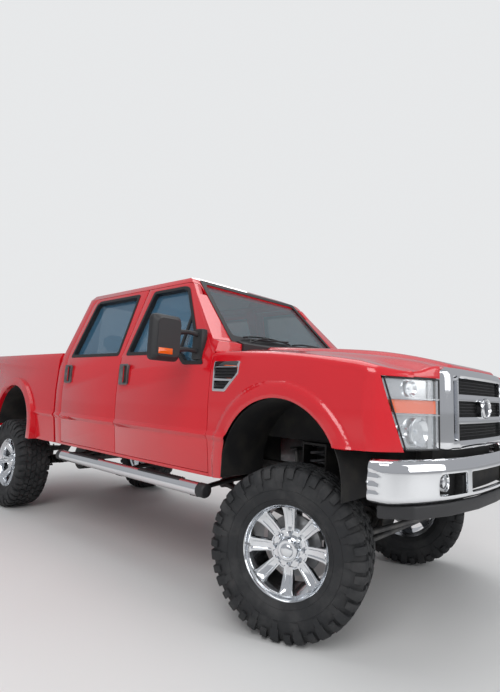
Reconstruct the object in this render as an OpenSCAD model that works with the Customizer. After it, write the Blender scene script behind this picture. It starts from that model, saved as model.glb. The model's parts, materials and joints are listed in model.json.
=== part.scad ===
// Lifted crew-cab 4x4 pickup, an assembly of separate pieces.
// +X points forward, +Y to the left, +Z up. The origin lies on the ground
// under the middle of the bounding box. Inside the modules X is measured
// from the front axle, and place() moves the result to the origin.

/* [Overall] */
// Distance between the axles
wheelbase = 3967; // [3800:1:4800]
// Front axle to the face of the front bumper
front_overhang = 965; // [900:1:1150]
// Rear axle to the end of the rear bumper
rear_overhang = 1337; // [1200:1:1600]
// Distance between the wheel centres of one axle
track = 1740; // [1700:1:1900]
// Width over the body's side crease
body_w = 2000; // [1950:1:2200]
// How far the wheel-arch flares stand out from the crease
flare_out = 22; // [6:1:40]

/* [Heights above the ground] */
// Lower edge of the cab and bed
sill_z = 785; // [760:1:900]
// Crease along the lower body side
crease_z = 1065; // [1000:1:1150]
// Lower edge of the side windows
belt_z = 1640; // [1560:1:1760]
// Top of the roof
roof_z = 2360; // [2250:1:2500]
// Top of the bed rails
rail_z = 1690; // [1600:1:1760]
// Bed floor
floor_z = 1180; // [1150:1:1240]
// Top of the hood at its rear edge
hood_rear_z = 1735; // [1680:1:1800]
// Top of the hood at its front edge
hood_front_z = 1600; // [1560:1:1660]

/* [Cab] */
// Front axle to the gap ahead of the front doors
door_front = 640; // [600:1:700]
// Front axle to the gap between front and rear doors
door_mid = 1830; // [1780:1:1880]
// Front axle to the gap behind the rear doors
door_rear = 2830; // [2780:1:2880]
// Front axle to the back of the cab
cab_rear = 2951; // [2920:1:3100]
// Gap between body panels
panel_gap = 7; // [6:0.5:10]
// Gap between cab and bed
bed_gap = 34; // [25:1:60]
// Thickness of the doors at the belt line
door_t = 86; // [70:1:100]
// Thickness of the window glass
glass_t = 5; // [4:0.5:8]

/* [Wheels and tyres] */
// Tyre radius
tyre_r = 475; // [450:1:500]
// Tyre width
tyre_w = 330; // [300:1:350]
// Bead seat radius of the rim
rim_r = 254; // [250:1:260]
// Width of the rim between its flanges
rim_w = 254; // [230:1:270]
// Number of wheel nuts and of spokes
lugs = 8; // [6:1:10]
// Radius of the wheel-nut circle
lug_circle = 85; // [75:1:92]
// Radius of the wheel-arch opening
arch_r = 470; // [440:1:500]
// Height of the arch centre
arch_z = 870; // [840:1:900]
// Width of the band around the arch
flare_w = 90; // [60:1:110]

/* [Steering] */
// Steering angle of the front wheels as the truck stands, left positive
steer_rest = 19; // [0:1:25]
// Length of the steering arms and of the pitman arm
steer_arm = 180; // [170:1:185]
// Distance of the steering axis inboard of the wheel centre
kingpin_in = 130; // [120:1:140]

/* [Running gear] */
// Distance from the centreline to the middle of a frame rail
rail_y = 410; // [395:1:415]
// Width of a frame rail
rail_w = 76; // [60:1:80]
// Height of a frame rail
rail_h = 170; // [150:1:190]
// Bottom of the frame under the cab
frame_z = 700; // [690:1:710]
// How much higher the frame runs over the rear axle
kick_up = 150; // [130:1:165]
// Axle tube radius
tube_r = 45; // [38:1:50]
// Outer radius of the front coil springs
coil_r = 72; // [60:1:75]
// Radius of the wheel spindles
spindle_r = 28; // [24:1:30]
// Radius of the step bars
step_r = 48; // [38:1:50]
// Height of the step bars' centre
step_z = 690; // [670:1:700]
// Inner width of the hitch receiver
receiver_w = 51; // [50:1:52]
// Radius of the hitch-pin bore
pin_r = 8; // [7:0.5:9]
// Radius of the ball hole in the rear bumper
ball_hole_r = 16; // [12:1:18]

/* [Hidden] */
$fn = 48;

// Colours of the pieces
PAINT = "crimson";
CHROME = "lightgray";
BLACK = [0.08, 0.08, 0.09];
STEEL = [0.25, 0.25, 0.27];
RUBBER = [0.12, 0.12, 0.12];
CLOTH = [0.45, 0.42, 0.38];
GLASS = [0.55, 0.75, 0.85, 0.6];

// Shift from the front axle to the middle of the length
shift_x = (rear_overhang + wheelbase - front_overhang) / 2;
half_w = body_w / 2;
kingpin_y = track / 2 - kingpin_in;
axle_z = tyre_r;
far = 5000;

// ---- Helpers ----

module place() { translate([shift_x, 0, 0]) children(); }

module both_sides() {
    children();
    mirror([0, 1, 0]) children();
}

// Box from its limits along each axis
module block(x, y, z) {
    translate([x[0], y[0], z[0]]) cube([x[1] - x[0], y[1] - y[0], z[1] - z[0]]);
}

// XZ outline, run along Y between two places
module side_prism(outline, y0, y1) {
    translate([0, y1, 0]) rotate([90, 0, 0]) linear_extrude(y1 - y0) polygon(outline);
}

// YZ outline, run along X between two places
module long_prism(outline, x0, x1) {
    translate([x0, 0, 0]) rotate([90, 0, 90]) linear_extrude(x1 - x0) polygon(outline);
}

// XY outline, run up between two heights
module flat_prism(outline, z0, z1) {
    translate([0, 0, z0]) linear_extrude(z1 - z0) polygon(outline);
}

// Round bar between two points
module bar(p, q, r) {
    d = q - p;
    flat = norm([d[0], d[1]]);
    translate(p) rotate([0, atan2(flat, d[2]), atan2(d[1], d[0])]) cylinder(r = r, h = norm(d));
}

// Cylinder along Y
module across(x, y0, y1, z, r) {
    translate([x, y1, z]) rotate([90, 0, 0]) cylinder(r = r, h = y1 - y0);
}

function reversed(list) = [for (i = [len(list) - 1:-1:0]) list[i]];

// ---- Body shape ----

// Left half of the body's cross-section, from the sill up: [y, z]
side_outer = [
    [half_w - 55, sill_z], [half_w - 22, crease_z - 30], [half_w, crease_z],
    [half_w - 16, crease_z + 30], [half_w - 10, belt_z - 340],
    [half_w - 18, belt_z - 130], [half_w - 38, belt_z]];
greenhouse_outer = [
    [half_w - 258, roof_z - 85], [half_w - 292, roof_z - 38],
    [half_w - 420, roof_z - 10], [0, roof_z]];
side_inner = [for (p = side_outer) [p[0] - door_t - (p[1] < belt_z - 100 ? 24 : 0), p[1]]];
greenhouse_inner = [
    [half_w - 318, roof_z - 95], [half_w - 352, roof_z - 68],
    [half_w - 450, roof_z - 45], [0, roof_z - 38]];
section_outer = concat(side_outer, greenhouse_outer);
section_inner = concat(side_inner, greenhouse_inner);

// Cab seen from the side: outline outside and inside
firewall_x = -625;
wind_base = [-700, hood_rear_z + 10];
wind_top = [-1235, roof_z - 55];
cab_outline = [
    [-cab_rear, sill_z], [-cab_rear, belt_z], [-cab_rear + 50, roof_z - 80],
    [-cab_rear + 130, roof_z + 1], [wind_top[0] - 120, roof_z + 1], wind_top, wind_base,
    [firewall_x, wind_base[1] - 23], [firewall_x, sill_z]];
cab_room = [
    [-cab_rear + 45, sill_z + 115], [-cab_rear + 45, belt_z], [-cab_rear + 95, roof_z - 90],
    [-cab_rear + 150, roof_z - 38], [wind_top[0] - 130, roof_z - 38],
    [wind_top[0] - 25, wind_top[1] - 40], [wind_base[0] - 75, wind_base[1] - 10],
    [firewall_x - 60, wind_base[1] - 70], [firewall_x - 60, sill_z + 115]];

// Door outlines seen from the side, to the middle of the gaps
door_low = sill_z + 22;
door_top = roof_z - 88;
front_door_outline = [
    [-door_front, door_low], [-door_front, belt_z - 20], [-1180, door_top - 12],
    [-1260, door_top], [-door_mid, door_top], [-door_mid, door_low]];
rear_door_outline = [
    [-door_mid, door_low], [-door_mid, door_top], [-door_rear + 90, door_top],
    [-door_rear + 40, door_top - 60], [-door_rear, belt_z], [-door_rear, door_low]];
// Window outlines; the front one drops towards the mirror
dip = 75;
front_window_outline = [
    [-door_front - 112, belt_z - dip], [-1215, door_top - 62], [-1275, door_top - 45],
    [-door_mid + 125, door_top - 45], [-door_mid + 70, belt_z + 10],
    [-1060, belt_z + 10], [-960, belt_z - dip]];
rear_window_outline = [
    [-door_mid - 70, belt_z + 10], [-door_mid - 120, door_top - 45],
    [-door_rear + 165, door_top - 45], [-door_rear + 125, door_top - 75],
    [-door_rear + 75, belt_z + 10]];

// Ring between the outer and inner sections, from one height to another
module left_side_skin(x0, x1) {
    outline = concat([for (p = section_outer) if (p[1] < roof_z - 60) p],
        reversed([for (p = section_inner) if (p[1] < roof_z - 60) p]));
    long_prism(outline, x0, x1);
}

// One door: the skin's whole thickness inside its outline, window cut out
module door_solid(outline, window, x_rear, x_front) {
    g = panel_gap / 2;
    difference() {
        intersection() {
            left_side_skin(x_rear + g, x_front - g);
            side_prism(outline, 500, far);
        }
        side_prism(window, 400, far);
        // Shut faces lean in so that the inner edges clear as the door swings
        flat_prism([[x_rear, half_w - 50], [x_rear + g, half_w - 50],
            [x_rear + 24, 500], [x_rear, 500]], sill_z - 10, roof_z);
        block([x_rear - 10, x_front + 10], [400, far], [door_top - g, far]);
        block([x_rear - 10, x_front + 10], [400, far], [sill_z - 10, door_low + g]);
        // Room for the cab's sloping front pillar
        translate([g, 0, g]) children();
    }
}

module front_door(c) {
    color(c) {
        door_solid(front_door_outline, front_window_outline, -door_mid, -door_front) {
            side_prism([[-door_front, belt_z - 22 - panel_gap], [-1180, door_top - 14 - panel_gap],
                [-1260, door_top - panel_gap], [-1260, far], [0, far], [0, belt_z - 100],
                [-door_front, belt_z - 100]], 400, far);
        }
        door_handle(-door_mid + 105);
    }
}

module rear_door(c) {
    color(c) {
        door_solid(rear_door_outline, rear_window_outline, -door_rear, -door_mid) {
            side_prism([[-door_rear - 10, belt_z], [-door_rear + 30, door_top - 66],
                [-door_rear + 82, door_top - 8], [-door_rear - 10, far]], 400, far);
        }
        door_handle(-door_rear + 105);
    }
}

// Pull handle, an upright bar standing in front of its recess plate
module door_handle(x) {
    y = half_w - 12;
    z = belt_z - 165;
    difference() {
        block([x - 62, x + 62], [y - 6, y + 12], [z - 86, z + 86]);
        block([x - 4, x + 50], [y + 4, y + 20], [z - 74, z + 74]);
    }
}

// Glass pane filling a window, a little inside the door's outer face
module pane(window, x_rear, x_front) {
    color(GLASS) intersection() {
        outer = [for (p = section_outer) [p[0] - 42, p[1]]];
        inner = [for (p = section_outer) [p[0] - 42 - glass_t, p[1]]];
        long_prism(concat([for (p = outer) if (p[1] > belt_z - 300 && p[1] < roof_z - 60) p],
            reversed([for (p = inner) if (p[1] > belt_z - 300 && p[1] < roof_z - 60) p])),
            x_rear, x_front);
        side_prism(window, 400, far);
    }
}

// ---- Cab ----

tunnel_end = -1560;
tunnel_half = 205;
tunnel_top = 1095;

module cab() {
    g = panel_gap / 2;
    color(PAINT) place() difference() {
        union() {
            difference() {
                intersection() {
                    both_sides() long_prism(concat([[0, sill_z]], section_outer), -far, far);
                    side_prism(cab_outline, -far, far);
                }
                intersection() {
                    both_sides() long_prism(concat([[0, sill_z]], section_inner), -far, far);
                    side_prism(cab_room, -far, far);
                }
                // Underside between the sills
                block([-cab_rear - 1, 0], [-half_w + 190, half_w - 190], [sill_z - 1, sill_z + 85]);
            }
            // Tunnel over the gearbox
            block([tunnel_end, firewall_x - 1], [-tunnel_half, tunnel_half],
                [sill_z + 84, tunnel_top]);
            // Centre pillars inside the doors' meeting line
            both_sides() intersection() {
                long_prism(concat([for (p = section_inner) if (p[1] < roof_z - 60)
                        [p[0] - panel_gap, p[1] + (p[1] > roof_z - 120 ? 40 : 0)]],
                    reversed([for (p = section_inner) if (p[1] < roof_z - 60)
                        [p[0] - 70, p[1] + (p[1] > roof_z - 120 ? 40 : 0)]])),
                    -door_mid - 55, -door_mid + 55);
                block([-far, 0], [0, far], [sill_z + 100, roof_z - 40]);
            }
        }
        // Door openings
        both_sides() {
            side_prism([[0, door_low], [-door_mid, door_low], [-door_mid, door_top],
                [-1260, door_top], [-1180, door_top - 12], [-door_front, belt_z - 20],
                [0, belt_z - 20]], half_w - 330, far);
            side_prism([[-door_mid, door_low], [-door_mid, door_top],
                [-door_rear + 90, door_top], [-door_rear + 40, door_top - 60],
                [-door_rear, belt_z], [-door_rear, door_low]], half_w - 330, far);
        }
        block([tunnel_end + 15, 0], [15 - tunnel_half, tunnel_half - 15],
            [sill_z - 1, tunnel_top - 15]);
        // The fenders fill the corners ahead of the doors
        both_sides() block([-door_front, 0], [hood_half - 10, far], [sill_z - 1, belt_z + 4]);
        // Windscreen and rear window
        windscreen_cut(0);
        block([-cab_rear - 10, -cab_rear + 120], [-620, 620], [belt_z + 20, roof_z - 130]);
    }
}

// The windscreen's opening; margin grows it
module windscreen_cut(margin) {
    dx = wind_top[0] - wind_base[0];
    dz = wind_top[1] - wind_base[1];
    run = norm([dx, dz]);
    translate([wind_base[0], 0, wind_base[1]]) rotate([0, atan2(-dz, dx), 0])
        translate([0, 0, -110]) linear_extrude(220) polygon([
            [55 - margin, -735 - margin], [55 - margin, 735 + margin],
            [run - 50 + margin, 640 + margin], [run - 50 + margin, -640 - margin]]);
}

module cab_glass() {
    dx = wind_top[0] - wind_base[0];
    dz = wind_top[1] - wind_base[1];
    run = norm([dx, dz]);
    color(GLASS) place() {
        translate([wind_base[0], 0, wind_base[1]]) rotate([0, atan2(-dz, dx), 0])
            translate([0, 0, 12]) linear_extrude(glass_t) polygon([
                [55, -735], [55, 735], [run - 50, 640], [run - 50, -640]]);
        block([-cab_rear + 22, -cab_rear + 22 + glass_t], [-620, 620],
            [belt_z + 20, roof_z - 130]);
    }
}

// Black cowl panel ahead of the windscreen, with both wipers
module cowl() {
    z = wind_base[1];
    color(BLACK) place() {
        side_prism([[firewall_x + 0.5, z - 110], [firewall_x + 0.5, z - 22], [wind_base[0] + 8, z - 1.5],
            [wind_base[0] + 30, z + 4], [firewall_x + 20, z - 20], [firewall_x + 20, z - 110]],
            -700, 700);
        for (y = [-560, 60]) {
            bar([wind_base[0] + 28, y, z - 2], [wind_base[0] + 10, y + 20, z + 34], 9);
            bar([wind_base[0] + 10, y + 20, z + 34], [wind_base[0] - 30, y + 540, z + 72], 7);
        }
    }
}

module dashboard() {
    z = belt_z - 110;
    wheel_at = [-1060, 380, z - 10];
    color(BLACK) place() {
        side_prism([[firewall_x - 60.4, z - 260], [firewall_x - 60.4, z + 60], [-760, z + 105],
            [-860, z + 90], [-905, z], [-840, z - 230]], -half_w + 168, half_w - 168);
        // Steering column and wheel
        bar([-880, wheel_at[1], z - 75], [wheel_at[0] + 12, wheel_at[1], wheel_at[2] - 6], 24);
        translate(wheel_at) rotate([0, -68, 0]) {
            rotate_extrude() translate([182, 0]) circle(r = 14);
            for (a = [0, 120, 240]) rotate([0, 0, a]) translate([0, -14, -8]) cube([176, 28, 14]);
            cylinder(r = 60, h = 30, center = true);
        }
    }
}

// Seat seen from the side: cushion and leaning back as one outline
module seat(x, y0, y1, floor_at) {
    side_prism([[x, floor_at], [x, floor_at + 330], [x - 480, floor_at + 300],
        [x - 620, floor_at + 850], [x - 730, floor_at + 840], [x - 610, floor_at + 240],
        [x - 560, floor_at]], y0, y1);
}

module seats() {
    z = sill_z + 115.4;
    color(CLOTH) place() {
        both_sides() {
            seat(-1130, tunnel_half + 10, 710, z);
            block([-1850, -1765], [330, 600], [z + 835, z + 1030]);
        }
        seat(-2130, -720, 720, z);
        block([-1540, -1160], [-150, 150], [tunnel_top + 0.4, z + 400]);
    }
}

// ---- Front end ----

hood_back = firewall_x + 26;
hood_nose = 828;
hood_half = 790;
hood_top = [[hood_back, hood_rear_z - 40], [500, hood_rear_z - 110], [740, hood_front_z - 20],
    [hood_nose, hood_front_z - 48]];
hood_plan = [[hood_back, 0], [hood_back, hood_half], [766, hood_half], [hood_nose, 598],
    [hood_nose, 0]];
lamp_low = 1100;
lamp_high = 1480;
hood_t = 26;
bulge = 36;

function lowered(list, d) = [for (p = list) [p[0], p[1] - d]];

module hood() {
    color(PAINT) place() {
        intersection() {
            union() {
                side_prism(concat(lowered(hood_top, 0), reversed(lowered(hood_top, hood_t))),
                    -far, far);
                // Raised middle
                side_prism(concat(lowered(hood_top, -bulge), reversed(lowered(hood_top, 0))),
                    -450, 450);
                // Turned-down side edges
                both_sides() intersection() {
                    side_prism(concat(lowered(hood_top, 1), reversed(lowered(hood_top, 75))),
                        0, far);
                    block([hood_back, 600], [hood_half - 14, hood_half], [0, far]);
                }
                // Front face over the headlights
                both_sides() flat_prism([[hood_nose, 598], [766, hood_half], [738, hood_half],
                    [hood_nose - 28, 598]], lamp_high + panel_gap, hood_front_z - 40);
            }
            both_sides() flat_prism(hood_plan, 0, far);
        }
    }
}

// Fender seen from the side, without the arch
lamp_outer = [[665, 1480], [745, 1100]];
fender_side = [
    [-door_front + panel_gap / 2, sill_z], [-door_front + panel_gap / 2, belt_z],
    [0, belt_z - 25], [500, belt_z - 90], [lamp_outer[0][0] - 8, lamp_outer[0][1] + 12],
    [lamp_outer[1][0] - 10, lamp_outer[1][1] - 12], [arch_r - 48, lamp_outer[1][1] - 12],
    [0, sill_z]];
fender_t = 34;
// Left half of the body seen from above, round the front corner
body_plan = [[-door_front, 0], [-door_front, half_w + 60], [520, half_w + 60],
    [575, half_w - 8], [650, half_w - 42], [775, 790], [843, 598], [843, 0]];
front_arch_x = -20;

module arch_cut(x, r) {
    across(x, 0, far, arch_z, r);
    block([x - r, x + r], [0, far], [sill_z - 200, arch_z]);
}

module flare(x, front_low, rear_low) {
    difference() {
        across(x, half_w - 90, half_w + flare_out, arch_z, arch_r + flare_w);
        across(x, 0, far, arch_z, arch_r);
        block([x - far, x + far], [0, far], [0, arch_z]);
    }
    block([x - arch_r - flare_w, x - arch_r], [half_w - 90, half_w + flare_out],
        [rear_low, arch_z]);
    block([x + arch_r, x + arch_r + flare_w], [half_w - 90, half_w + flare_out],
        [front_low, arch_z]);
}

module front_fenders() {
    outer = [for (p = side_outer) if (p[1] < belt_z - 30) p];
    edge = outer[len(outer) - 1];
    section = concat(outer, [[edge[0] - 24, belt_z - 60], [edge[0] - 70, belt_z + 1],
        [hood_half + panel_gap, belt_z + 1], [hood_half + panel_gap, belt_z - 105],
        [edge[0] - 70, belt_z - 105]],
        reversed([for (p = outer) if (p[1] < belt_z - 150) [p[0] - fender_t, p[1]]]));
    color(PAINT) place() both_sides() difference() {
        union() {
            intersection() {
                long_prism(section, -door_front, 900);
                side_prism(fender_side, 0, far);
                flat_prism(body_plan, 0, far);
            }
            // Tab that bolts to the cab's front wall
            block([firewall_x + 0.3, firewall_x + 60], [hood_half - 150, hood_half + 30],
                [belt_z - 105, belt_z - 80]);
            intersection() {
                flare(front_arch_x, lamp_outer[1][1] - 12, sill_z);
                side_prism(fender_side, 0, far);
                flat_prism(body_plan, 0, far);
            }
        }
        arch_cut(front_arch_x, arch_r);
        // Recess for the vent behind the wheel
        side_prism(vent_outline(0), half_w - 26, far);
    }
}

function vent_outline(grow) = [
    [-door_front + 32 - grow, belt_z - 68 + grow], [-door_front + 285 + grow, belt_z - 68 + grow],
    [-door_front + 280 + grow, belt_z - 155], [-door_front + 165, belt_z - 275 - grow],
    [-door_front + 40 - grow, belt_z - 275 - grow]];

// Black tubs inside the four wheel arches
liner_t = 5;
module wheel_liners() {
    color(BLACK) place() both_sides() {
        liner(front_arch_x, arch_r - 0.5, 560, half_w - 26, sill_z + 20);
        liner(-wheelbase, arch_r - 0.5, 664, half_w - 26, sill_z + 90);
    }
}

module liner(x, r, y0, y1, low) {
    difference() {
        union() {
            across(x, y0, y1, arch_z, r);
            block([x - r, x + r], [y0, y1], [low, arch_z]);
        }
        block([x - far, x + far], [y0 - 1, y1 + 1], [-far, low]);
        across(x, y0 - 1, y1 + 1, arch_z, r - liner_t);
        block([x - r + liner_t, x + r - liner_t], [y0 - 1, y1 + 1], [low - 1, arch_z]);
    }
}

// Plan curve of the front end: [x, y] of the outer face
nose_plan = [[895, 0], [885, 330], [850, 585]];
grille_low = 1095;
grille_high = 1560;
grille_half = 590;

module plan_band(points, depth, z0, z1) {
    both_sides() flat_prism(concat(points,
        reversed([for (p = points) [p[0] - depth, p[1]]])), z0, z1);
}

module grille() {
    bar_h = 40;
    color(CHROME) place() difference() {
        union() {
            plan_band(nose_plan, 60, grille_low, grille_high);
            translate([0, 0, (grille_low + grille_high) / 2]) rotate([0, 90, 0])
                cylinder(r = 62, h = 925);
        }
        // Open between the bars, behind the emblem's boss too
        both_sides() {
            for (row = [0:2])
                block([0, 1000], [62, 440], [grille_low + 48 + row * 132, grille_low + 143 + row * 132]);
            block([0, 1000], [472, 535], [grille_low + 48, grille_high - 40]);
        }
        block([0, 834], [-far, far], [grille_low - 1, far]);
    }
}

module headlights() {
    color([0.85, 0.9, 0.95]) place() both_sides() intersection() {
        flat_prism([[841, grille_half + 9], [774, 790], [640, half_w - 44],
            [590, half_w - 60], [655, 770], [700, grille_half + 9]], lamp_low, lamp_high);
        side_prism([lamp_outer[0], [far, lamp_outer[0][1]], [far, lamp_outer[1][1]],
            lamp_outer[1]], 0, far);
    }
}

bumper_top = 1060;
bumper_low = 835;
bumper_end = 610;
bumper_plan = [[front_overhang, 0], [front_overhang - 8, 300], [front_overhang - 60, 620],
    [front_overhang - 150, 860], [front_overhang - 240, half_w - 5], [bumper_end, half_w + 6]];

module front_bumper() {
    t = 30;
    inner = [[front_overhang - t, 0], [front_overhang - t - 8, 300],
        [front_overhang - 60 - t, 600], [front_overhang - 150 - t, 832],
        [front_overhang - 240 - t, half_w - 40], [bumper_end, half_w - 26]];
    color(CHROME) place() difference() {
        both_sides() flat_prism(concat(bumper_plan, reversed(inner)), bumper_low, bumper_top);
        both_sides() block([700, 1000], [505, 720], [880, 985]);
        block([800, 1000], [-410, 410], [870, 985]);
    }
}

module bumper_valance() {
    color(BLACK) place() both_sides() {
        flat_prism([[front_overhang - 14, 0], [front_overhang - 24, 300],
            [front_overhang - 78, 612], [front_overhang - 168, 846],
            [bumper_end + 40, half_w - 34], [bumper_end + 30, half_w - 64],
            [front_overhang - 200, 826], [front_overhang - 108, 590],
            [front_overhang - 56, 290], [front_overhang - 46, 0]], 765, bumper_low - 0.3);
    }
}

module radiator() {
    color(BLACK) place() {
        block([690, 760], [-520, 520], [980, 1470]);
        // Core support bars reaching the lamps and the frame horns
        both_sides() block([700, 750], [519, grille_half + 8.6], [1380, 1440]);
        both_sides() {
            block([690, 760], [rail_y - 36, rail_y + 36], [960.3, 981]);
            // Stay that holds the grille, and rubber stop under the hood
            block([759, 833.6], [445, 470], [1380, 1420]);
            translate([725, 500, 1469]) cylinder(r = 12, h = hood_front_z - 45.8 - 1469);
        }
    }
}

module engine() {
    color(STEEL) place() block([-330, 560], [-290, 290], [engine_low, 1400]);
}

// ---- Mirrors, bed and rear end ----

module right_mirror() { place() mirror([0, 1, 0]) tow_mirror(); }
module left_mirror() { place() tow_mirror(); }

// Tow mirror on two arms from a foot on the front door's window corner
module tow_mirror() {
    x = -door_front - 165;
    y = half_w - 12;
    z = belt_z - 10;
    color(BLACK) {
        // Foot against the door skin below the window's dip
        block([x - 70, x + 85], [half_w - 20.6, y + 22], [z - 100, z - 70]);
        block([x - 10, x + 85], [y + 4, y + 22], [z - 71, z - 50]);
        block([x - 20, x + 85], [y + 4, y + 40], [z - 60, z + 150]);
        for (dz = [-30, 105])
            bar([x + 30, y + 30, z + dz], [x - 10, y + 170, z + dz + 10], 17);
        // Head
        flat_prism([[x - 45, y + 150], [x + 35, y + 165], [x + 30, y + 375],
            [x - 10, y + 392], [x - 45, y + 392]], z - 75, z + 245);
    }
}

bed_front = cab_rear + bed_gap;
bed_end = wheelbase + rear_overhang - 190;
bed_half = 880;
bed_side_section = concat([for (p = side_outer) if (p[1] < belt_z - 100) p],
    [[half_w - 24, rail_z - 60], [half_w - 40, rail_z - 22], [half_w - 52, rail_z],
     [bed_half, rail_z], [bed_half, rail_z - 60], [half_w - 62, rail_z - 60]],
    reversed([for (p = side_outer) if (p[1] < belt_z - 100) [p[0] - fender_t, p[1]]]));

module bed() {
    color(PAINT) place() {
        both_sides() difference() {
            union() {
                long_prism(bed_side_section, -bed_end, -bed_front);
                intersection() {
                    flare(-wheelbase, sill_z, sill_z + 60);
                    block([-bed_end, -bed_front], [0, far], [sill_z, far]);
                }
                // Inner side wall, from the floor to the rail
                block([-bed_end, -bed_front], [bed_half, bed_half + 14], [floor_z - 60, rail_z - 59]);
            }
            arch_cut(-wheelbase, arch_r);
            // Rear corner for the tail lamps
            block([-bed_end - 1, -bed_end + 62], [half_w - 165, far], [1180, 1620]);
            // Lower edge rises behind the wheel
            side_prism([[-bed_end - 1, sill_z - 1], [-bed_end - 1, sill_z + 60],
                [-wheelbase - arch_r, sill_z + 60], [-wheelbase - arch_r, sill_z - 1]], 0, far);
        }
        // Floor, front wall, wheel houses
        difference() {
            block([-bed_end, -bed_front], [-bed_half, bed_half], [floor_z - 30, floor_z]);
            both_sides() block([-wheelbase - 505, -wheelbase + 505], [662, far], [0, far]);
        }
        // Ears that hold the tailgate's pins
        both_sides() difference() {
            block([gate_pivot[0] - 24, -bed_end + 1], [gate_half + 16, bed_half],
                [gate_pivot[1] - 24, gate_pivot[1] + 24]);
            across(gate_pivot[0], gate_half, far, gate_pivot[1], gate_pin_r + 0.1);
        }
        block([-bed_front - 30, -bed_front], [-bed_half, bed_half], [floor_z, rail_z]);
        both_sides() difference() {
            block([-wheelbase - 520, -wheelbase + 520], [647, bed_half],
                [floor_z - 1, arch_z + arch_r + 26]);
            block([-wheelbase - 505, -wheelbase + 505], [662, far], [0, arch_z + arch_r + 20]);
        }
        // Cross sills that carry the bed on the frame
        for (x = [-bed_front - 120, -wheelbase + 620, -wheelbase - 620])
            block([x - 50, x + 50], [-bed_half + 40, bed_half - 40],
                [frame_z + kick_up + rail_h + 0.3, floor_z - 30]);
    }
}

gate_t = 70;
gate_low = floor_z - 20;
gate_half = 830;
gate_pin_r = 10;
gate_gap = 10;
gate_pivot = [-bed_end - 44, gate_low + 18];

module tailgate() {
    color(PAINT) place() difference() {
        union() {
            block([-bed_end - gate_t - gate_gap, -bed_end - gate_gap], [-gate_half, gate_half],
                [gate_low, rail_z - 4]);
            across(gate_pivot[0], -bed_half + 4, bed_half - 4, gate_pivot[1], gate_pin_r);
        }
        // Handle pocket
        block([-bed_end - gate_t - gate_gap - 1, -bed_end - gate_t - gate_gap + 22],
            [-150, 150], [rail_z - 190, rail_z - 110]);
    }
}

module rear_bumper() {
    x0 = -wheelbase - rear_overhang;
    color(CHROME) place() difference() {
        union() {
            flat_prism([[x0, -700], [x0, 700], [x0 + 30, 900], [x0 + 110, half_w - 20],
                [x0 + 190, half_w - 20], [x0 + 190, half_w - 48], [x0 + 130, half_w - 60],
                [x0 + 60, 880], [x0 + 30, 690], [x0 + 30, -690], [x0 + 60, -880],
                [x0 + 130, 60 - half_w], [x0 + 190, 48 - half_w], [x0 + 190, 20 - half_w],
                [x0 + 110, 20 - half_w], [x0 + 30, -900]], 850, 1065);
            // Step plate with the ball hole
            block([x0 + 5, x0 + 175], [-640, 640], [1040, 1060]);
            // Brackets onto the frame
            both_sides() block([x0 + 29, x0 + 132], [rail_y - 70, rail_y - 40], [900, 1041]);
        }
        translate([x0 + 85, 0, 1000]) cylinder(r = ball_hole_r, h = 100);
        // Number-plate recess
        block([x0 - 1, x0 + 12], [-190, 190], [880, 1010]);
    }
}

module taillights() {
    color("darkred") place() both_sides()
        block([-bed_end + 2, -bed_end + 61.6], [half_w - 160, half_w - 22], [1180.4, 1619.6]);
}

module step_bars() {
    y = half_w - 45;
    x0 = -door_front + 15;
    x1 = -door_rear + 20;
    color(CHROME) place() both_sides() {
        bar([x1, y, step_z], [x0, y, step_z], step_r);
        // Three brackets up and in to the frame rail
        for (x = [x0 - 130, (x0 + x1) / 2, x1 + 130])
            block([x - 35, x + 35], [rail_y + rail_w / 2, y], [step_z + 12, step_z + 36]);
        // Tread pads
        for (x = [x0 - 520, x1 + 480])
            block([x - 260, x + 260], [y - 44, y + 30], [step_z + step_r - 16, step_z + step_r + 4]);
    }
}

// ---- Frame ----

rail_in = rail_y - rail_w / 2;
rail_out = rail_y + rail_w / 2;
frame_front = 640;
frame_rear = wheelbase + rear_overhang - 205 + 70;
rail_side = [
    [frame_front, frame_z + 20], [frame_front, frame_z + rail_h], [-3100, frame_z + rail_h],
    [-3420, frame_z + rail_h + kick_up], [-frame_rear, frame_z + rail_h + kick_up],
    [-frame_rear, frame_z + kick_up + 30], [-3480, frame_z + kick_up], [-3160, frame_z],
    [300, frame_z]];

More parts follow.
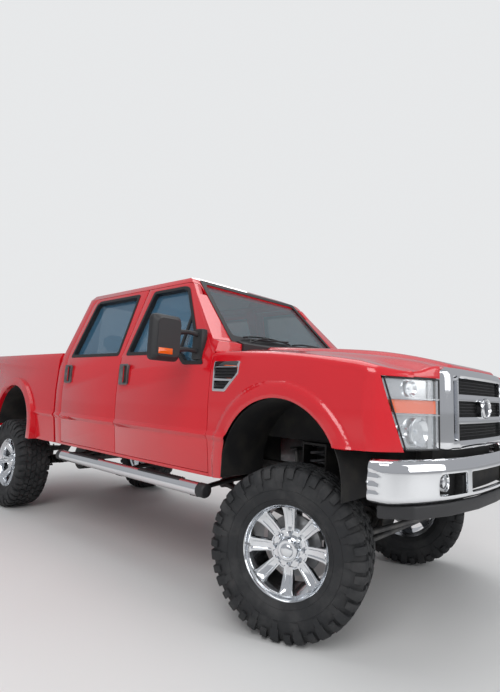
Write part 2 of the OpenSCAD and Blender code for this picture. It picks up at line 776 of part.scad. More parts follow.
module frame() {
    rear_z = frame_z + kick_up;
    x_end = -frame_rear;
    color(BLACK) place() difference() {
        union() {
            both_sides() {
                side_prism(rail_side, rail_in, rail_out);
                // Front horns that carry the bumper
                block([frame_front - 1, front_overhang - 64.6], [rail_in, rail_out], [bumper_low + 20, 960]);
                block([frame_front - 60, frame_front], [rail_in, rail_out], [frame_z + 100, 960]);
                // Body mounts under the cab and the front end
                for (x = [-800, -1700, -2750])
                    translate([x, rail_out + 30, frame_z + rail_h - 60]) {
                        cylinder(r = 42, h = sill_z + 85 - frame_z - rail_h + 60);
                        translate([-40, -31, 0]) cube([80, 40, 40]);
                    }
                // Spring towers over the front axle
                block([-95, 95], [rail_out - 1, coil_y + 75], [spring_top, spring_top + 14]);
                block([-95, -85], [rail_out - 1, coil_y + 75], [frame_z + 60, spring_top + 1]);
                block([85, 95], [rail_out - 1, coil_y + 75], [frame_z + 60, spring_top + 1]);
                // Upper shock mounts
                block([-250, -190], [rail_out - 10, rail_out + 2], [frame_z + 140, 1000]);
                block([-250, -190], [rail_out - 10, coil_y + 15], [986.2, 1000]);
                // Radius-arm brackets
                block([-1080, -960], [rail_in, rail_in + 20], [frame_z - 110, frame_z + 1]);
                // Leaf-spring hangers
                block([-wheelbase + leaf_half - 30, -wheelbase + leaf_half + 40],
                    [rail_out - 10, leaf_y - 38.4], [rear_z - 70, rear_z + 80]);
                block([-wheelbase - leaf_half - 40, -wheelbase - leaf_half + 30],
                    [rail_out - 10, leaf_y - 38.4], [rear_z - 70, rear_z + 80]);
            }
            // Cross members
            block([370, 470], [-rail_in - 1, rail_in + 1], [frame_z + 21, engine_low - 0.4]);
            block([-1790, -1700], [-rail_in - 1, rail_in + 1], [frame_z + 6, frame_z + 40]);
            block([-2350, -2250], [-rail_in - 1, rail_in + 1], [frame_z + 118, frame_z + 160]);
            block([590, 660], [-rail_in - 1, rail_in + 1], [frame_z + 60, frame_z + 150]);
            for (x = [-3350, -4700])
                block([x - 45, x + 45], [-rail_in - 1, rail_in + 1], [rear_z + 30, rear_z + 110]);
            // Hitch receiver
            block([x_end, x_end + 90], [-rail_in - 1, rail_in + 1], [rear_z + 35, rear_z + 95]);
            block([x_end - 40, x_end + 220], [-receiver_w / 2 - 7, receiver_w / 2 + 7],
                [receiver_z - receiver_w / 2 - 7, receiver_z + receiver_w / 2 + 7]);
            block([x_end + 10, x_end + 80], [-60, 60], [receiver_z + 20, rear_z + 36]);
        }
        // Receiver tube and its pin bore
        block([x_end - 41, x_end + 180], [-receiver_w / 2, receiver_w / 2],
            [receiver_z - receiver_w / 2, receiver_z + receiver_w / 2]);
        across(x_end + 25, -80, 80, receiver_z, pin_r);
    }
}

spring_top = 1040;
coil_y = 530;
engine_low = 790;
leaf_half = 720;
leaf_y = 560;
receiver_z = 780;

// ---- Steering and front suspension ----

// Turns a left-side piece about its steering axis to the parked angle
module steered(side) {
    translate([0, side * kingpin_y, 0]) rotate([0, 0, steer_rest])
        translate([0, -side * kingpin_y, 0]) children();
}

arm_z = axle_z - 40;
// Where the steering arms' ends lie, from the steering axis
arm_end = [steer_arm * cos(steer_rest), steer_arm * sin(steer_rest)];

module front_axle() {
    color(STEEL) place() {
        across(0, -kingpin_y + 52, kingpin_y - 52, axle_z, tube_r);
        // Differential housing, offset to the left
        across(0, 130, 330, axle_z, 115);
        across(0, 100, 360, axle_z, 80);
        // Forks that hold the knuckles above and below
        both_sides() difference() {
            block([-42, 42], [kingpin_y - 72, kingpin_y + 26], [axle_z - 112, axle_z + 112]);
            block([-43, 43], [kingpin_y - 34, kingpin_y + 27], [axle_z - 84, axle_z + 84]);
        }
        // Coil-spring and radius-arm pads
        both_sides() {
            translate([0, coil_y, axle_z + tube_r - 12]) cylinder(r = coil_r + 8, h = 32);
            block([-150, -20], [405, 455], [axle_z - 60, axle_z + 40]);
            // Lower shock mounts
            block([-205, -25], [488, 518], [axle_z - 36, axle_z - 10.8]);
        }
    }
}

module left_knuckle() { color(STEEL) place() steered(1) knuckle(); }
module right_knuckle() { color(STEEL) place() steered(-1) mirror([0, 1, 0]) knuckle(); }

// Left knuckle, wheels straight: block in the fork, spindle, arm, caliper
module knuckle() {
    y = kingpin_y;
    difference() {
        union() {
            translate([0, y, axle_z - 83]) cylinder(r = 32, h = 166);
            across(0, y + 16, y + 48, axle_z, 66);
            across(0, y + 40, y + 118, axle_z, spindle_r);
            // Steering arm forward to the rod ends
            block([46, steer_arm], [y - 4, y + 20], [arm_z - 12, arm_z + 12]);
            translate([steer_arm, y, arm_z - 12]) cylinder(r = 24, h = 24);
            // Brake caliper behind the disc
            block([-188, -110], [y + 36, y + 46], [axle_z - 60, axle_z + 60]);
            block([-120, -50], [y + 20, y + 46], [axle_z - 30, axle_z + 30]);
        }
    }
}

// Tie rod between the knuckles, and drag link to the pitman arm
pitman_at = [330, 420];
pitman_z = 610;
link_z = arm_z + 42;

module tie_rods() {
    right_end = [arm_end[0], -kingpin_y + arm_end[1]];
    left_end = [arm_end[0], kingpin_y + arm_end[1]];
    pitman_end = [pitman_at[0] + arm_end[0], pitman_at[1] + arm_end[1]];
    low = arm_z - 36;
    color(STEEL) place() {
        bar([right_end[0], right_end[1], low], [left_end[0], left_end[1], low], 17);
        for (e = [right_end, left_end]) translate([e[0], e[1], low - 20]) cylinder(r = 21, h = 43.7);
        // Drag link
        bar([right_end[0], right_end[1], link_z], [pitman_end[0], pitman_end[1], pitman_z - 40], 17);
        translate([right_end[0], right_end[1], arm_z + 12.3]) cylinder(r = 21, h = 48);
        translate([pitman_end[0], pitman_end[1], pitman_z - 60]) cylinder(r = 21, h = 47);
    }
}

module pitman_arm() {
    color(STEEL) place() translate([pitman_at[0], pitman_at[1], 0]) rotate([0, 0, steer_rest]) {
        translate([0, 0, pitman_z - 12]) cylinder(r = 30, h = 24);
        translate([steer_arm, 0, pitman_z - 12]) cylinder(r = 24, h = 24);
        translate([0, -18, pitman_z - 10]) cube([steer_arm, 36, 20]);
        translate([0, 0, pitman_z]) cylinder(r = 20, h = frame_z - pitman_z - 0.3);
    }
}

module coil_springs() {
    low = axle_z + tube_r + 20;
    color(STEEL) place() both_sides() translate([0, coil_y, low]) difference() {
        cylinder(r = coil_r, h = spring_top - low);
        translate([0, 0, -1]) cylinder(r = coil_r - 16, h = spring_top);
    }
}

module radius_arms() {
    color(STEEL) place() {
        both_sides() {
            bar([-156, 430, axle_z + 8], [-1010, 420, frame_z - 70], 24);
            across(-1020, rail_in + 20.3, 446, frame_z - 70, 34);
        }
        // Track bar from the frame to the axle
        bar([-90, 390, frame_z - 20], [-75, -380, axle_z + 62], 16);
        translate([-75, -380, axle_z + tube_r - 6]) cylinder(r = 14, h = 60);
        translate([-90, 390, frame_z - 30]) cylinder(r = 14, h = 29.6);
    }
}

module shocks() {
    color("silver") place() both_sides() {
        bar([-190, 503, axle_z + 60], [-215, 505, 880], 30);
        bar([-188, 503, axle_z - 10], [-190, 503, axle_z + 60], 12);
        bar([-215, 505, 880], [-222, 505, 985], 12);
        bar([-wheelbase + 110, 430, axle_z + 10], [-wheelbase + 330, 344.1, 860], 26);
    }
}

// ---- Rear suspension and driveline ----

module rear_axle() {
    color(STEEL) place() {
        across(-wheelbase, -track / 2 + 100, track / 2 - 100, axle_z, 52);
        across(-wheelbase, -130, 130, axle_z, 150);
        both_sides() {
            // Lower shock mount
            block([-wheelbase + 30, -wheelbase + 135], [404, 456], [axle_z - 34, axle_z - 6]);
            across(-wheelbase, track / 2 - 100, track / 2 + 12, axle_z, spindle_r);
            // Caliper bracket
            block([-wheelbase + 110, -wheelbase + 188],
                [track / 2 - 124, track / 2 - 84], [axle_z - 60, axle_z + 60]);
            block([-wheelbase + 40, -wheelbase + 120],
                [track / 2 - 124, track / 2 - 100], [axle_z - 30, axle_z + 30]);
        }
    }
}

module leaf_springs() {
    eye_z = frame_z + kick_up + 20;
    low = axle_z + 52;
    color(STEEL) place() both_sides() {
        // Arched pack, then the lift block down to the axle
        side_prism([[-wheelbase + leaf_half, eye_z - 42], [-wheelbase + 380, low + 145],
            [-wheelbase, low + 110], [-wheelbase - 380, low + 145],
            [-wheelbase - leaf_half, eye_z - 42], [-wheelbase - leaf_half, eye_z - 62],
            [-wheelbase - 380, low + 100], [-wheelbase - 120, low + 60],
            [-wheelbase + 120, low + 60], [-wheelbase + 380, low + 100],
            [-wheelbase + leaf_half, eye_z - 62]], leaf_y - 38, leaf_y + 38);
        for (s = [-1, 1])
            across(-wheelbase + s * leaf_half, leaf_y - 38, leaf_y + 38, eye_z - 52, 30);
        block([-wheelbase - 75, -wheelbase + 75], [leaf_y - 38, leaf_y + 38], [low, low + 61]);
        // U-bolts
        for (x = [-60, 60], y = [-46, 46])
            translate([-wheelbase + x, leaf_y + y, low - 110]) cylinder(r = 8, h = 240);
        block([-wheelbase - 75, -wheelbase + 75], [leaf_y - 56, leaf_y + 56], [low - 118, low - 104]);
    }
}

module gearbox() {
    color(STEEL) place() {
        translate([-720, 0, 930]) rotate([0, 90, 0]) cylinder(r = 145, h = 720 - 330.4);
        block([-1500, -700], [-150, 150], [770, 960]);
        block([-1740, -1420], [-150, 240], [frame_z + 40.4, 862]);
    }
}

module driveshafts() {
    color(STEEL) place() {
        bar([-1746.3, 0, 812], [-wheelbase + 156, 0, axle_z + 10], 38);
        bar([-1413, 200, 800], [-120, 228, axle_z + 22], 28);
    }
}

// Pipe, muffler and tailpipe on one line beside the gearbox
exhaust_at = [-260, 780];

module exhaust() {
    color(STEEL) place() {
        translate([-3560, exhaust_at[0], exhaust_at[1]]) rotate([0, 90, 0]) cylinder(r = 35, h = 2860);
        translate([-2900, exhaust_at[0], exhaust_at[1]]) rotate([0, 90, 0]) cylinder(r = 85, h = 500);
        // Hanger to the cross member above
        translate([-2300, exhaust_at[0], exhaust_at[1]])
            cylinder(r = 8, h = frame_z + 117.6 - exhaust_at[1]);
    }
}

module fuel_tank() {
    color(BLACK) place() block([-3250, -2380], [90, rail_in - 0.4], [640, 862]);
}

// ---- Wheels ----

module rim() {
    w = rim_w / 2;
    barrel = [[rim_r - 14, -w], [rim_r + 19, -w], [rim_r + 19, -w + 8], [rim_r, -w + 16],
        [rim_r, -w + 50], [rim_r - 22, -w + 72], [rim_r - 22, w - 90], [rim_r, w - 50],
        [rim_r, w - 16], [rim_r + 19, w - 8], [rim_r + 19, w], [rim_r - 10, w],
        [rim_r - 14, w - 50], [rim_r - 34, w - 84], [rim_r - 34, -w + 76], [rim_r - 14, -w + 50]];
    // Outer side at +Z here; turned to +Y by the caller
    difference() {
        union() {
            rotate_extrude($fn = 96) polygon(barrel);
            translate([0, 0, w - 78]) cylinder(r = 112, h = 44);
            for (i = [0:lugs - 1]) rotate([0, 0, (i + 0.5) * 360 / lugs])
                translate([95, -24, w - 72]) cube([rim_r - 110, 48, 40]);
            translate([0, 0, w - 40]) cylinder(r = 62, h = 52);
        }
        for (i = [0:lugs - 1]) rotate([0, 0, i * 360 / lugs])
            translate([lug_circle, 0, w - 80]) cylinder(r = 8, h = 60);
        // Room for the spindle's end
        translate([0, 0, w - 79]) cylinder(r = spindle_r + 0.3, h = 50);
    }
    // Nuts
    for (i = [0:lugs - 1]) rotate([0, 0, i * 360 / lugs])
        translate([lug_circle, 0, w - 78]) cylinder(r = 8, h = 56);
    // Brake disc and its bell
    difference() {
        union() {
            translate([0, 0, -78]) cylinder(r = 165, h = 26);
            translate([0, 0, -78]) cylinder(r = 95, h = 78 + w - 78);
        }
        translate([0, 0, -79]) cylinder(r = spindle_r + 0.3, h = 79 + w - 30);
    }
}

module tyre() {
    w = rim_w / 2;
    h = tyre_w / 2;
    rotate_extrude($fn = 96) polygon([
        [rim_r, -w + 16.3], [rim_r + 19.3, -w + 8.3], [rim_r + 19.3, -w - 2],
        [rim_r + 60, -h + 4], [rim_r + 105, -h],
        [tyre_r - 38, -h + 6], [tyre_r - 10, -h + 26], [tyre_r, -h + 60],
        [tyre_r, h - 60], [tyre_r - 10, h - 26], [tyre_r - 38, h - 6], [rim_r + 105, h],
        [rim_r + 60, h - 4], [rim_r + 19.3, w + 2], [rim_r + 19.3, w - 8.3],
        [rim_r, w - 16.3],
        [rim_r, w - 26], [rim_r + 40, h - 26], [rim_r + 105, h - 18],
        [tyre_r - 40, h - 30], [tyre_r - 32, 0], [tyre_r - 40, -h + 30],
        [rim_r + 105, -h + 18], [rim_r + 40, -h + 26], [rim_r, -w + 26]]);
}

// Puts a wheel piece, made lying down, at the left end of an axle
module at_left(x) { translate([x, track / 2, axle_z]) rotate([-90, 0, 0]) children(); }
module at_right(x) { mirror([0, 1, 0]) at_left(x) children(); }

module left_front_rim() { color(CHROME) place() steered(1) at_left(0) rim(); }
module right_front_rim() { color(CHROME) place() steered(-1) at_right(0) rim(); }
module left_rear_rim() { color(CHROME) place() at_left(-wheelbase) rim(); }
module right_rear_rim() { color(CHROME) place() at_right(-wheelbase) rim(); }
module left_front_tyre() { color(RUBBER) place() steered(1) at_left(0) tyre(); }
module right_front_tyre() { color(RUBBER) place() steered(-1) at_right(0) tyre(); }
module left_rear_tyre() { color(RUBBER) place() at_left(-wheelbase) tyre(); }
module right_rear_tyre() { color(RUBBER) place() at_right(-wheelbase) tyre(); }

// ---- Doors and their glass ----

module left_front_door() { place() front_door(PAINT); }
module right_front_door() { place() mirror([0, 1, 0]) front_door(PAINT); }
module left_rear_door() { place() rear_door(PAINT); }
module right_rear_door() { place() mirror([0, 1, 0]) rear_door(PAINT); }
module left_front_glass() { place() pane(front_window_outline, -door_mid, -door_front); }
module right_front_glass() { place() mirror([0, 1, 0]) pane(front_window_outline, -door_mid, -door_front); }
module left_rear_glass() { place() pane(rear_window_outline, -door_rear, -door_mid); }
module right_rear_glass() { place() mirror([0, 1, 0]) pane(rear_window_outline, -door_rear, -door_mid); }

frame();
cab();
cab_glass();
cowl();
dashboard();
seats();
hood();
front_fenders();
wheel_liners();
grille();
headlights();
front_bumper();
bumper_valance();
radiator();
engine();
right_front_door();
left_front_door();
right_rear_door();
left_rear_door();
right_front_glass();
left_front_glass();
right_rear_glass();
left_rear_glass();
right_mirror();
left_mirror();
bed();
tailgate();
rear_bumper();
taillights();
step_bars();
front_axle();
right_knuckle();
left_knuckle();
tie_rods();
pitman_arm();
rear_axle();
coil_springs();
radius_arms();
shocks();
leaf_springs();
gearbox();
driveshafts();
exhaust();
fuel_tank();
right_front_rim();
left_front_rim();
right_rear_rim();
left_rear_rim();
right_front_tyre();
left_front_tyre();
right_rear_tyre();
left_rear_tyre();
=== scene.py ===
"""Looks of a lifted crew-cab 4x4 pickup, laid out as a Blender add-on and run as a script."""

import json
import math

import bmesh
import bpy
from bpy.props import FloatProperty, FloatVectorProperty, IntProperty, PointerProperty
from mathutils import Matrix, Vector
from mathutils.geometry import delaunay_2d_cdt


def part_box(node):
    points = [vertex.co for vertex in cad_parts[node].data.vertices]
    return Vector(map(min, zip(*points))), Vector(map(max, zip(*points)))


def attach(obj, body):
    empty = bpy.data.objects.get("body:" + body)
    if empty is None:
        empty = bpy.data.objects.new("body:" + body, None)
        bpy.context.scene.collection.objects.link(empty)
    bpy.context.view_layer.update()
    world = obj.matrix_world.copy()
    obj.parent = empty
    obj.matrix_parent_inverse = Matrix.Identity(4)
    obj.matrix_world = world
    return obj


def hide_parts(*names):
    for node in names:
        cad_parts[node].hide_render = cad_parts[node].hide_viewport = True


bl_info = {
    "name": "Lifted Pickup",
    "version": (1, 0, 0),
    "blender": (4, 5, 0),
    "location": "3D View > Sidebar > Pickup",
    "description": "Builds the body, wheels and finish of a lifted crew-cab pickup",
    "category": "Add Mesh",
}

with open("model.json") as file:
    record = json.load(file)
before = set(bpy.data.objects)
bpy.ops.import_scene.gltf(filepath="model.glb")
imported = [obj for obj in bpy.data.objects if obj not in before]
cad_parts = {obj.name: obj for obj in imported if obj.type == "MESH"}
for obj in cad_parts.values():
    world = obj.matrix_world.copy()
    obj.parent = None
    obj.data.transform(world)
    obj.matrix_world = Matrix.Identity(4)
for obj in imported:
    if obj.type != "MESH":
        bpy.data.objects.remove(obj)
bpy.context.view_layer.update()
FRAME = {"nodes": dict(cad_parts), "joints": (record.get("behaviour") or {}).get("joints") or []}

# ---------------------------------------------------------------- places


def low(node):
    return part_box(node)[0]


def high(node):
    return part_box(node)[1]


JOINTS = {joint["name"]: joint for joint in FRAME["joints"]}
AXLE_X = JOINTS["right_steer"]["pos_m"][0]
AXLE_Z = JOINTS["right_steer"]["pos_m"][2]
TYRE_R = high("right_rear_tyre")[2] - AXLE_Z
HALF_W = high("cab")[1]
SILL_Z = low("cab")[2]


# ---------------------------------------------------------------- sizes and colours


class BodySizes(bpy.types.PropertyGroup):
    arch_z: FloatProperty(name="Arch height", description="Height of the wheel-arch centres",
                          default=0.87, unit="LENGTH")
    arch_r: FloatProperty(name="Arch radius", description="Radius of the wheel-arch openings",
                          default=0.47, unit="LENGTH")
    flare_w: FloatProperty(name="Flare width", description="Width of the band round the arches",
                           default=0.095, unit="LENGTH")
    flare_out: FloatProperty(name="Flare depth", description="How far the flares stand out",
                             default=0.020, unit="LENGTH")


class WheelSizes(bpy.types.PropertyGroup):
    spokes: IntProperty(name="Spokes", description="Spokes and wheel nuts", default=8)
    lug_circle: FloatProperty(name="Nut circle", description="Radius of the circle of nuts",
                              default=0.085, unit="LENGTH")
    tread_rows: IntProperty(name="Tread blocks", description="Blocks round the tyre", default=38)
    tread_depth: FloatProperty(name="Tread depth", description="Depth of the tread grooves",
                               default=0.015, unit="LENGTH")


class Paints(bpy.types.PropertyGroup):
    red: FloatVectorProperty(name="Body", description="Body colour", subtype="COLOR",
                             default=(0.70, 0.004, 0.014))
    amber: FloatVectorProperty(name="Amber", description="Marker and turn lamps",
                               subtype="COLOR", default=(0.90, 0.13, 0.004))
    lens_red: FloatVectorProperty(name="Tail lamp", description="Tail-lamp lens",
                                  subtype="COLOR", default=(0.45, 0.006, 0.008))
    trim: FloatVectorProperty(name="Trim", description="Black moulded trim", subtype="COLOR",
                              default=(0.022, 0.022, 0.024))
    floor: FloatVectorProperty(name="Floor", description="Studio floor", subtype="COLOR",
                               default=(0.78, 0.78, 0.77))


# ---------------------------------------------------------------- shader maths


class Sock:
    """A node socket that takes part in Python expressions."""

    def __init__(self, shader, socket):
        self.shader = shader
        self.socket = socket

    def math(self, operation, *values):
        return self.shader.node("ShaderNodeMath", {"operation": operation}, *values)["Value"]

    def __add__(self, other):
        return self.math("ADD", self, other)

    def __radd__(self, other):
        return self.math("ADD", other, self)

    def __sub__(self, other):
        return self.math("SUBTRACT", self, other)

    def __rsub__(self, other):
        return self.math("SUBTRACT", other, self)

    def __mul__(self, other):
        return self.math("MULTIPLY", self, other)

    def __rmul__(self, other):
        return self.math("MULTIPLY", other, self)

    def above(self, edge, soft=0.02):
        """1 where the value passes the edge, with a soft step."""
        return self.shader.node("ShaderNodeMapRange", {"interpolation_type": "SMOOTHSTEP"},
                                self, edge - soft, edge + soft, 0.0, 1.0)["Result"]


class Shader:
    """One material and its nodes."""

    def __init__(self, name):
        self.material = bpy.data.materials.new(name)
        self.material.use_nodes = True
        self.tree = self.material.node_tree
        self.surface = self.tree.nodes["Principled BSDF"]

    def node(self, kind, settings=None, *values, **named):
        """Adds a node: its settings first, then socket values or links by place or by name."""
        node = self.tree.nodes.new(kind)
        for key, value in (settings or {}).items():
            if key == "stops":
                ramp = node.color_ramp
                while len(ramp.elements) < len(value):
                    ramp.elements.new(0.5)
                for element, (place, colour) in zip(ramp.elements, value):
                    element.position = place
                    element.color = colour
            else:
                setattr(node, key, value)
        for slot, value in list(enumerate(values)) + list(named.items()):
            self.feed(node.inputs[slot], value)
        return {out.name: Sock(self, out) for out in node.outputs if out.enabled}

    def feed(self, socket, value):
        if isinstance(value, Sock):
            self.tree.links.new(value.socket, socket)
        elif value is not None:
            socket.default_value = value

    def set(self, **values):
        """Sets the surface's sockets; underscores stand for spaces."""
        for key, value in values.items():
            self.feed(self.surface.inputs[key.replace("_", " ")], value)
        return self

    def place(self, scale=(1, 1, 1), rotation=(0, 0, 0)):
        """Object coordinates, scaled and turned."""
        coords = self.node("ShaderNodeTexCoord")["Object"]
        return self.node("ShaderNodeMapping", None, Vector=coords, Scale=scale,
                         Rotation=rotation)["Vector"]

    def noise(self, scale, detail=3.0, rough=0.5, stretch=(1, 1, 1)):
        return self.node("ShaderNodeTexNoise", None, Vector=self.place(stretch), Scale=scale,
                         Detail=detail, Roughness=rough)["Fac"]

    def cells(self, scale, feature="F1"):
        return self.node("ShaderNodeTexVoronoi", {"feature": feature}, Vector=self.place(),
                         Scale=scale)["Distance"]

    def mix(self, mask, first, second):
        mixer = self.tree.nodes.new("ShaderNodeMix")
        mixer.data_type = "RGBA"
        self.feed(mixer.inputs["Factor"], mask)
        self.feed(mixer.inputs[6], first)
        self.feed(mixer.inputs[7], second)
        return Sock(self, mixer.outputs[2])

    def bump(self, height, distance, strength=1.0):
        out = self.node("ShaderNodeBump", None, Strength=strength, Distance=distance,
                        Height=height)
        self.set(Normal=out["Normal"])


def opaque(colour, factor=1.0):
    return tuple(channel * factor for channel in colour) + (1.0,)


def paint_finish(paints):
    shader = Shader("body_paint")
    flake = shader.noise(900.0, 1.0)
    drift = shader.noise(1.3, 2.0)
    colour = shader.mix(drift, opaque(paints.red, 0.9), opaque(paints.red, 1.08))
    shader.set(Base_Color=colour, Metallic=0.0, Roughness=0.22 + flake * 0.06, Coat_Weight=1.0,
               Coat_Roughness=0.02, IOR=1.5)
    return shader.material


def chrome_finish():
    shader = Shader("chrome")
    haze = shader.noise(14.0, 3.0)
    shader.set(Base_Color=(0.83, 0.84, 0.86, 1), Metallic=1.0, Roughness=0.03 + haze * 0.04)
    return shader.material


def worn_finish(name, spread, dark, light, rough, edge=None, metal=0.0, bump=None):
    """Two shades parted by noise, which also varies the roughness; bump is noise or cells."""
    shader = Shader(name)
    dirt = shader.noise(*spread)
    mask = dirt.above(*edge) if edge else dirt
    shader.set(Base_Color=shader.mix(mask, dark, light), Metallic=metal,
               Roughness=rough[0] + dirt * rough[1])
    if bump:
        kind, place, height, strength = bump
        shader.bump(getattr(shader, kind)(*place), height, strength)
    return shader.material


def steel_finish(name, dark, light, rough):
    return worn_finish(name, (11.0, 5.0, 0.6), dark, light, (rough, 0.2), (0.52, 0.16), 0.35,
                       ("noise", (140.0, 4.0), 0.0009, 0.45))


def plain_finish(name, **surface):
    return Shader(name).set(**surface).material


def glass_finish(name, tint, alpha):
    shader = Shader(name)
    ripple = shader.noise(2.2, 1.0)
    shader.set(Base_Color=tint, Roughness=0.0, IOR=1.5, Alpha=alpha, Coat_Weight=1.0,
               Coat_Roughness=0.0)
    shader.bump(ripple, 0.004, 0.08)
    return shader.material


def lens_finish(name, colour, alpha):
    shader = Shader(name)
    shader.set(Base_Color=colour, Roughness=0.06, IOR=1.49, Alpha=alpha, Coat_Weight=0.7)
    ribs = shader.node("ShaderNodeTexWave", {"bands_direction": "Y"}, Vector=shader.place(),
                       Scale=26.0, Distortion=0.0)["Fac"]
    shader.bump(ribs, 0.0012, 0.22)
    return shader.material


def cloth_finish():
    shader = Shader("seat_cloth")
    weave = shader.node("ShaderNodeTexWave", {"bands_direction": "DIAGONAL"},
                        Vector=shader.place(), Scale=210.0)["Fac"]
    fade = shader.noise(5.0, 3.0)
    colour = shader.mix(fade, (0.075, 0.068, 0.06, 1), (0.12, 0.108, 0.094, 1))
    shader.set(Base_Color=colour, Roughness=0.9, Sheen_Weight=0.3)
    shader.bump(weave, 0.0008, 0.6)
    return shader.material


def mesh_finish():
    shader = Shader("grille_mesh")
    holes = shader.cells(95.0, "DISTANCE_TO_EDGE")
    # Partly real, partly painted shade: the thin web is the mesh's own dark plastic, and the
    # near-black cell centres are painted shade standing in for the openings, which are not cut.
    colour = shader.mix(holes.above(0.06, 0.03), (0.05, 0.05, 0.055, 1), (0.004, 0.004, 0.005, 1))
    shader.set(Base_Color=colour, Roughness=0.5)
    shader.bump(holes.above(0.08, 0.05), 0.004, 0.7)
    return shader.material


def floor_finish(paints):
    """A pale floor that takes shadows near the truck and meets the backdrop far from it."""
    shader = Shader("studio_floor")
    shade = shader.noise(0.8, 2.0)
    colour = shader.mix(shade, opaque(paints.floor, 0.97), opaque(paints.floor, 1.03))
    shader.set(Base_Color=colour, Roughness=0.85)
    spot = shader.node("ShaderNodeTexCoord")["Object"]
    away = shader.node("ShaderNodeVectorMath", {"operation": "LENGTH"}, spot)["Value"]
    far = shader.node("ShaderNodeMapRange", {"interpolation_type": "SMOOTHSTEP"}, away, 5.0, 15.0,
                      0.0, 1.0)["Result"]
    direct = shader.node("ShaderNodeLightPath")["Is Camera Ray"]
    glow = shader.node("ShaderNodeEmission", None, Color=(0.80, 0.81, 0.82, 1), Strength=1.0)
    blend = shader.node("ShaderNodeMixShader", None, far * direct,
                        Sock(shader, shader.surface.outputs[0]), glow["Emission"])
    output = next(n for n in shader.tree.nodes if n.type == "OUTPUT_MATERIAL")
    shader.tree.links.new(blend["Shader"].socket, output.inputs["Surface"])
    return shader.material


FINISHES = {}
# The record's slot for each finish, black plastic where none is named; dress looks the slot up but
# gives it to no piece.
SLOTS = {"paint": "paint", "chrome": "chrome", "alloy": "alloy", "rubber": "tyre",
         "cloth": "cloth", "mirror": "glass", "red_lens": "red_lamp", "clear": "lamp",
         "amber": "lamp", "reflector": "lamp", "disc": "bare_steel", "coil": "black_steel",
         "black_steel": "black_steel"}


def finish_makers(paints):
    """A maker for each finish, called when the finish is first used."""
    return {
        "paint": lambda: paint_finish(paints),
        "chrome": lambda: chrome_finish(),
        "alloy": lambda: worn_finish("polished_alloy", (26.0, 4.0), (0.74, 0.76, 0.79, 1),
                                     (0.84, 0.86, 0.88, 1), (0.08, 0.08), metal=1.0),
        "trim": lambda: worn_finish("black_trim", (9.0, 4.0), opaque(paints.trim, 0.8),
                                    opaque(paints.trim, 1.35), (0.42, 0.2),
                                    bump=("cells", (700.0,), 0.0004, 0.5)),
        "liner": lambda: worn_finish("arch_liner", (7.0, 5.0), (0.012, 0.012, 0.013, 1),
                                     (0.035, 0.032, 0.028, 1), (0.75, 0.15), (0.55, 0.2),
                                     bump=("noise", (160.0, 2.0), 0.0012, 0.5)),
        "seal": lambda: worn_finish("window_seal", (18.0, 3.0), (0.006, 0.006, 0.007, 1),
                                    (0.018, 0.018, 0.02, 1), (0.34, 0.18),
                                    bump=("noise", (320.0, 2.0), 0.0003, 0.3)),
        "rubber": lambda: worn_finish("tyre_rubber", (8.0, 5.0, 0.6), (0.016, 0.017, 0.019, 1),
                                      (0.042, 0.042, 0.043, 1), (0.62, 0.2), (0.56, 0.16),
                                      bump=("noise", (240.0, 3.0), 0.0006, 0.5)),
        "black_steel": lambda: steel_finish("black_steel", (0.014, 0.014, 0.015, 1),
                                            (0.04, 0.038, 0.035, 1), 0.4),
        "bare_steel": lambda: steel_finish("bare_steel", (0.07, 0.07, 0.072, 1),
                                           (0.15, 0.145, 0.14, 1), 0.45),
        "aluminium": lambda: steel_finish("cast_aluminium", (0.3, 0.3, 0.31, 1),
                                          (0.48, 0.48, 0.49, 1), 0.35),
        "disc": lambda: steel_finish("brake_disc", (0.35, 0.35, 0.36, 1),
                                     (0.5, 0.5, 0.5, 1), 0.25),
        "bezel": lambda: steel_finish("handle_bezel", (0.10, 0.10, 0.105, 1),
                                      (0.19, 0.19, 0.195, 1), 0.3),
        "coil": lambda: steel_finish("spring_steel", (0.05, 0.05, 0.055, 1),
                                     (0.13, 0.13, 0.135, 1), 0.22),
        "glass": lambda: glass_finish("side_glass", (0.05, 0.16, 0.26, 1), 0.72),
        "screen": lambda: glass_finish("windscreen", (0.2, 0.27, 0.3, 1), 0.3),
        "clear": lambda: lens_finish("clear_lens", (0.9, 0.94, 0.97, 1), 0.12),
        "amber": lambda: lens_finish("amber_lens", opaque(paints.amber), 1.0),
        "red_lens": lambda: lens_finish("red_lens", opaque(paints.lens_red), 1.0),
        "mirror": lambda: plain_finish("mirror_glass", Base_Color=(0.75, 0.8, 0.85, 1),
                                       Metallic=1.0, Roughness=0.02),
        "boss": lambda: plain_finish("bare_boss", Base_Color=(0.02, 0.028, 0.05, 1),
                                     Metallic=0.4, Roughness=0.22, Coat_Weight=0.8),
        "reflector": lambda: plain_finish("lamp_reflector", Base_Color=(0.86, 0.88, 0.9, 1),
                                          Metallic=0.85, Roughness=0.16),
        "cloth": lambda: cloth_finish(),
        "mesh": lambda: mesh_finish(),
        "floor": lambda: floor_finish(paints),
    }


def finish_of(name):
    """The named finish, made once."""
    if name not in FINISHES:
        FINISHES[name] = finish_makers(bpy.context.scene.pickup_paints)[name]()
    return FINISHES[name]


# ---------------------------------------------------------------- mesh tools


def new_piece(name, verts, faces, finish, body, smooth):
    """Makes a mesh piece, gives it its finish and its body, and smooths its flat angles."""
    mesh = bpy.data.meshes.new(name)
    mesh.from_pydata([tuple(v) for v in verts], [], faces)
    mesh.validate()
    return dress(bpy.data.objects.new(name, mesh), finish, body, smooth)


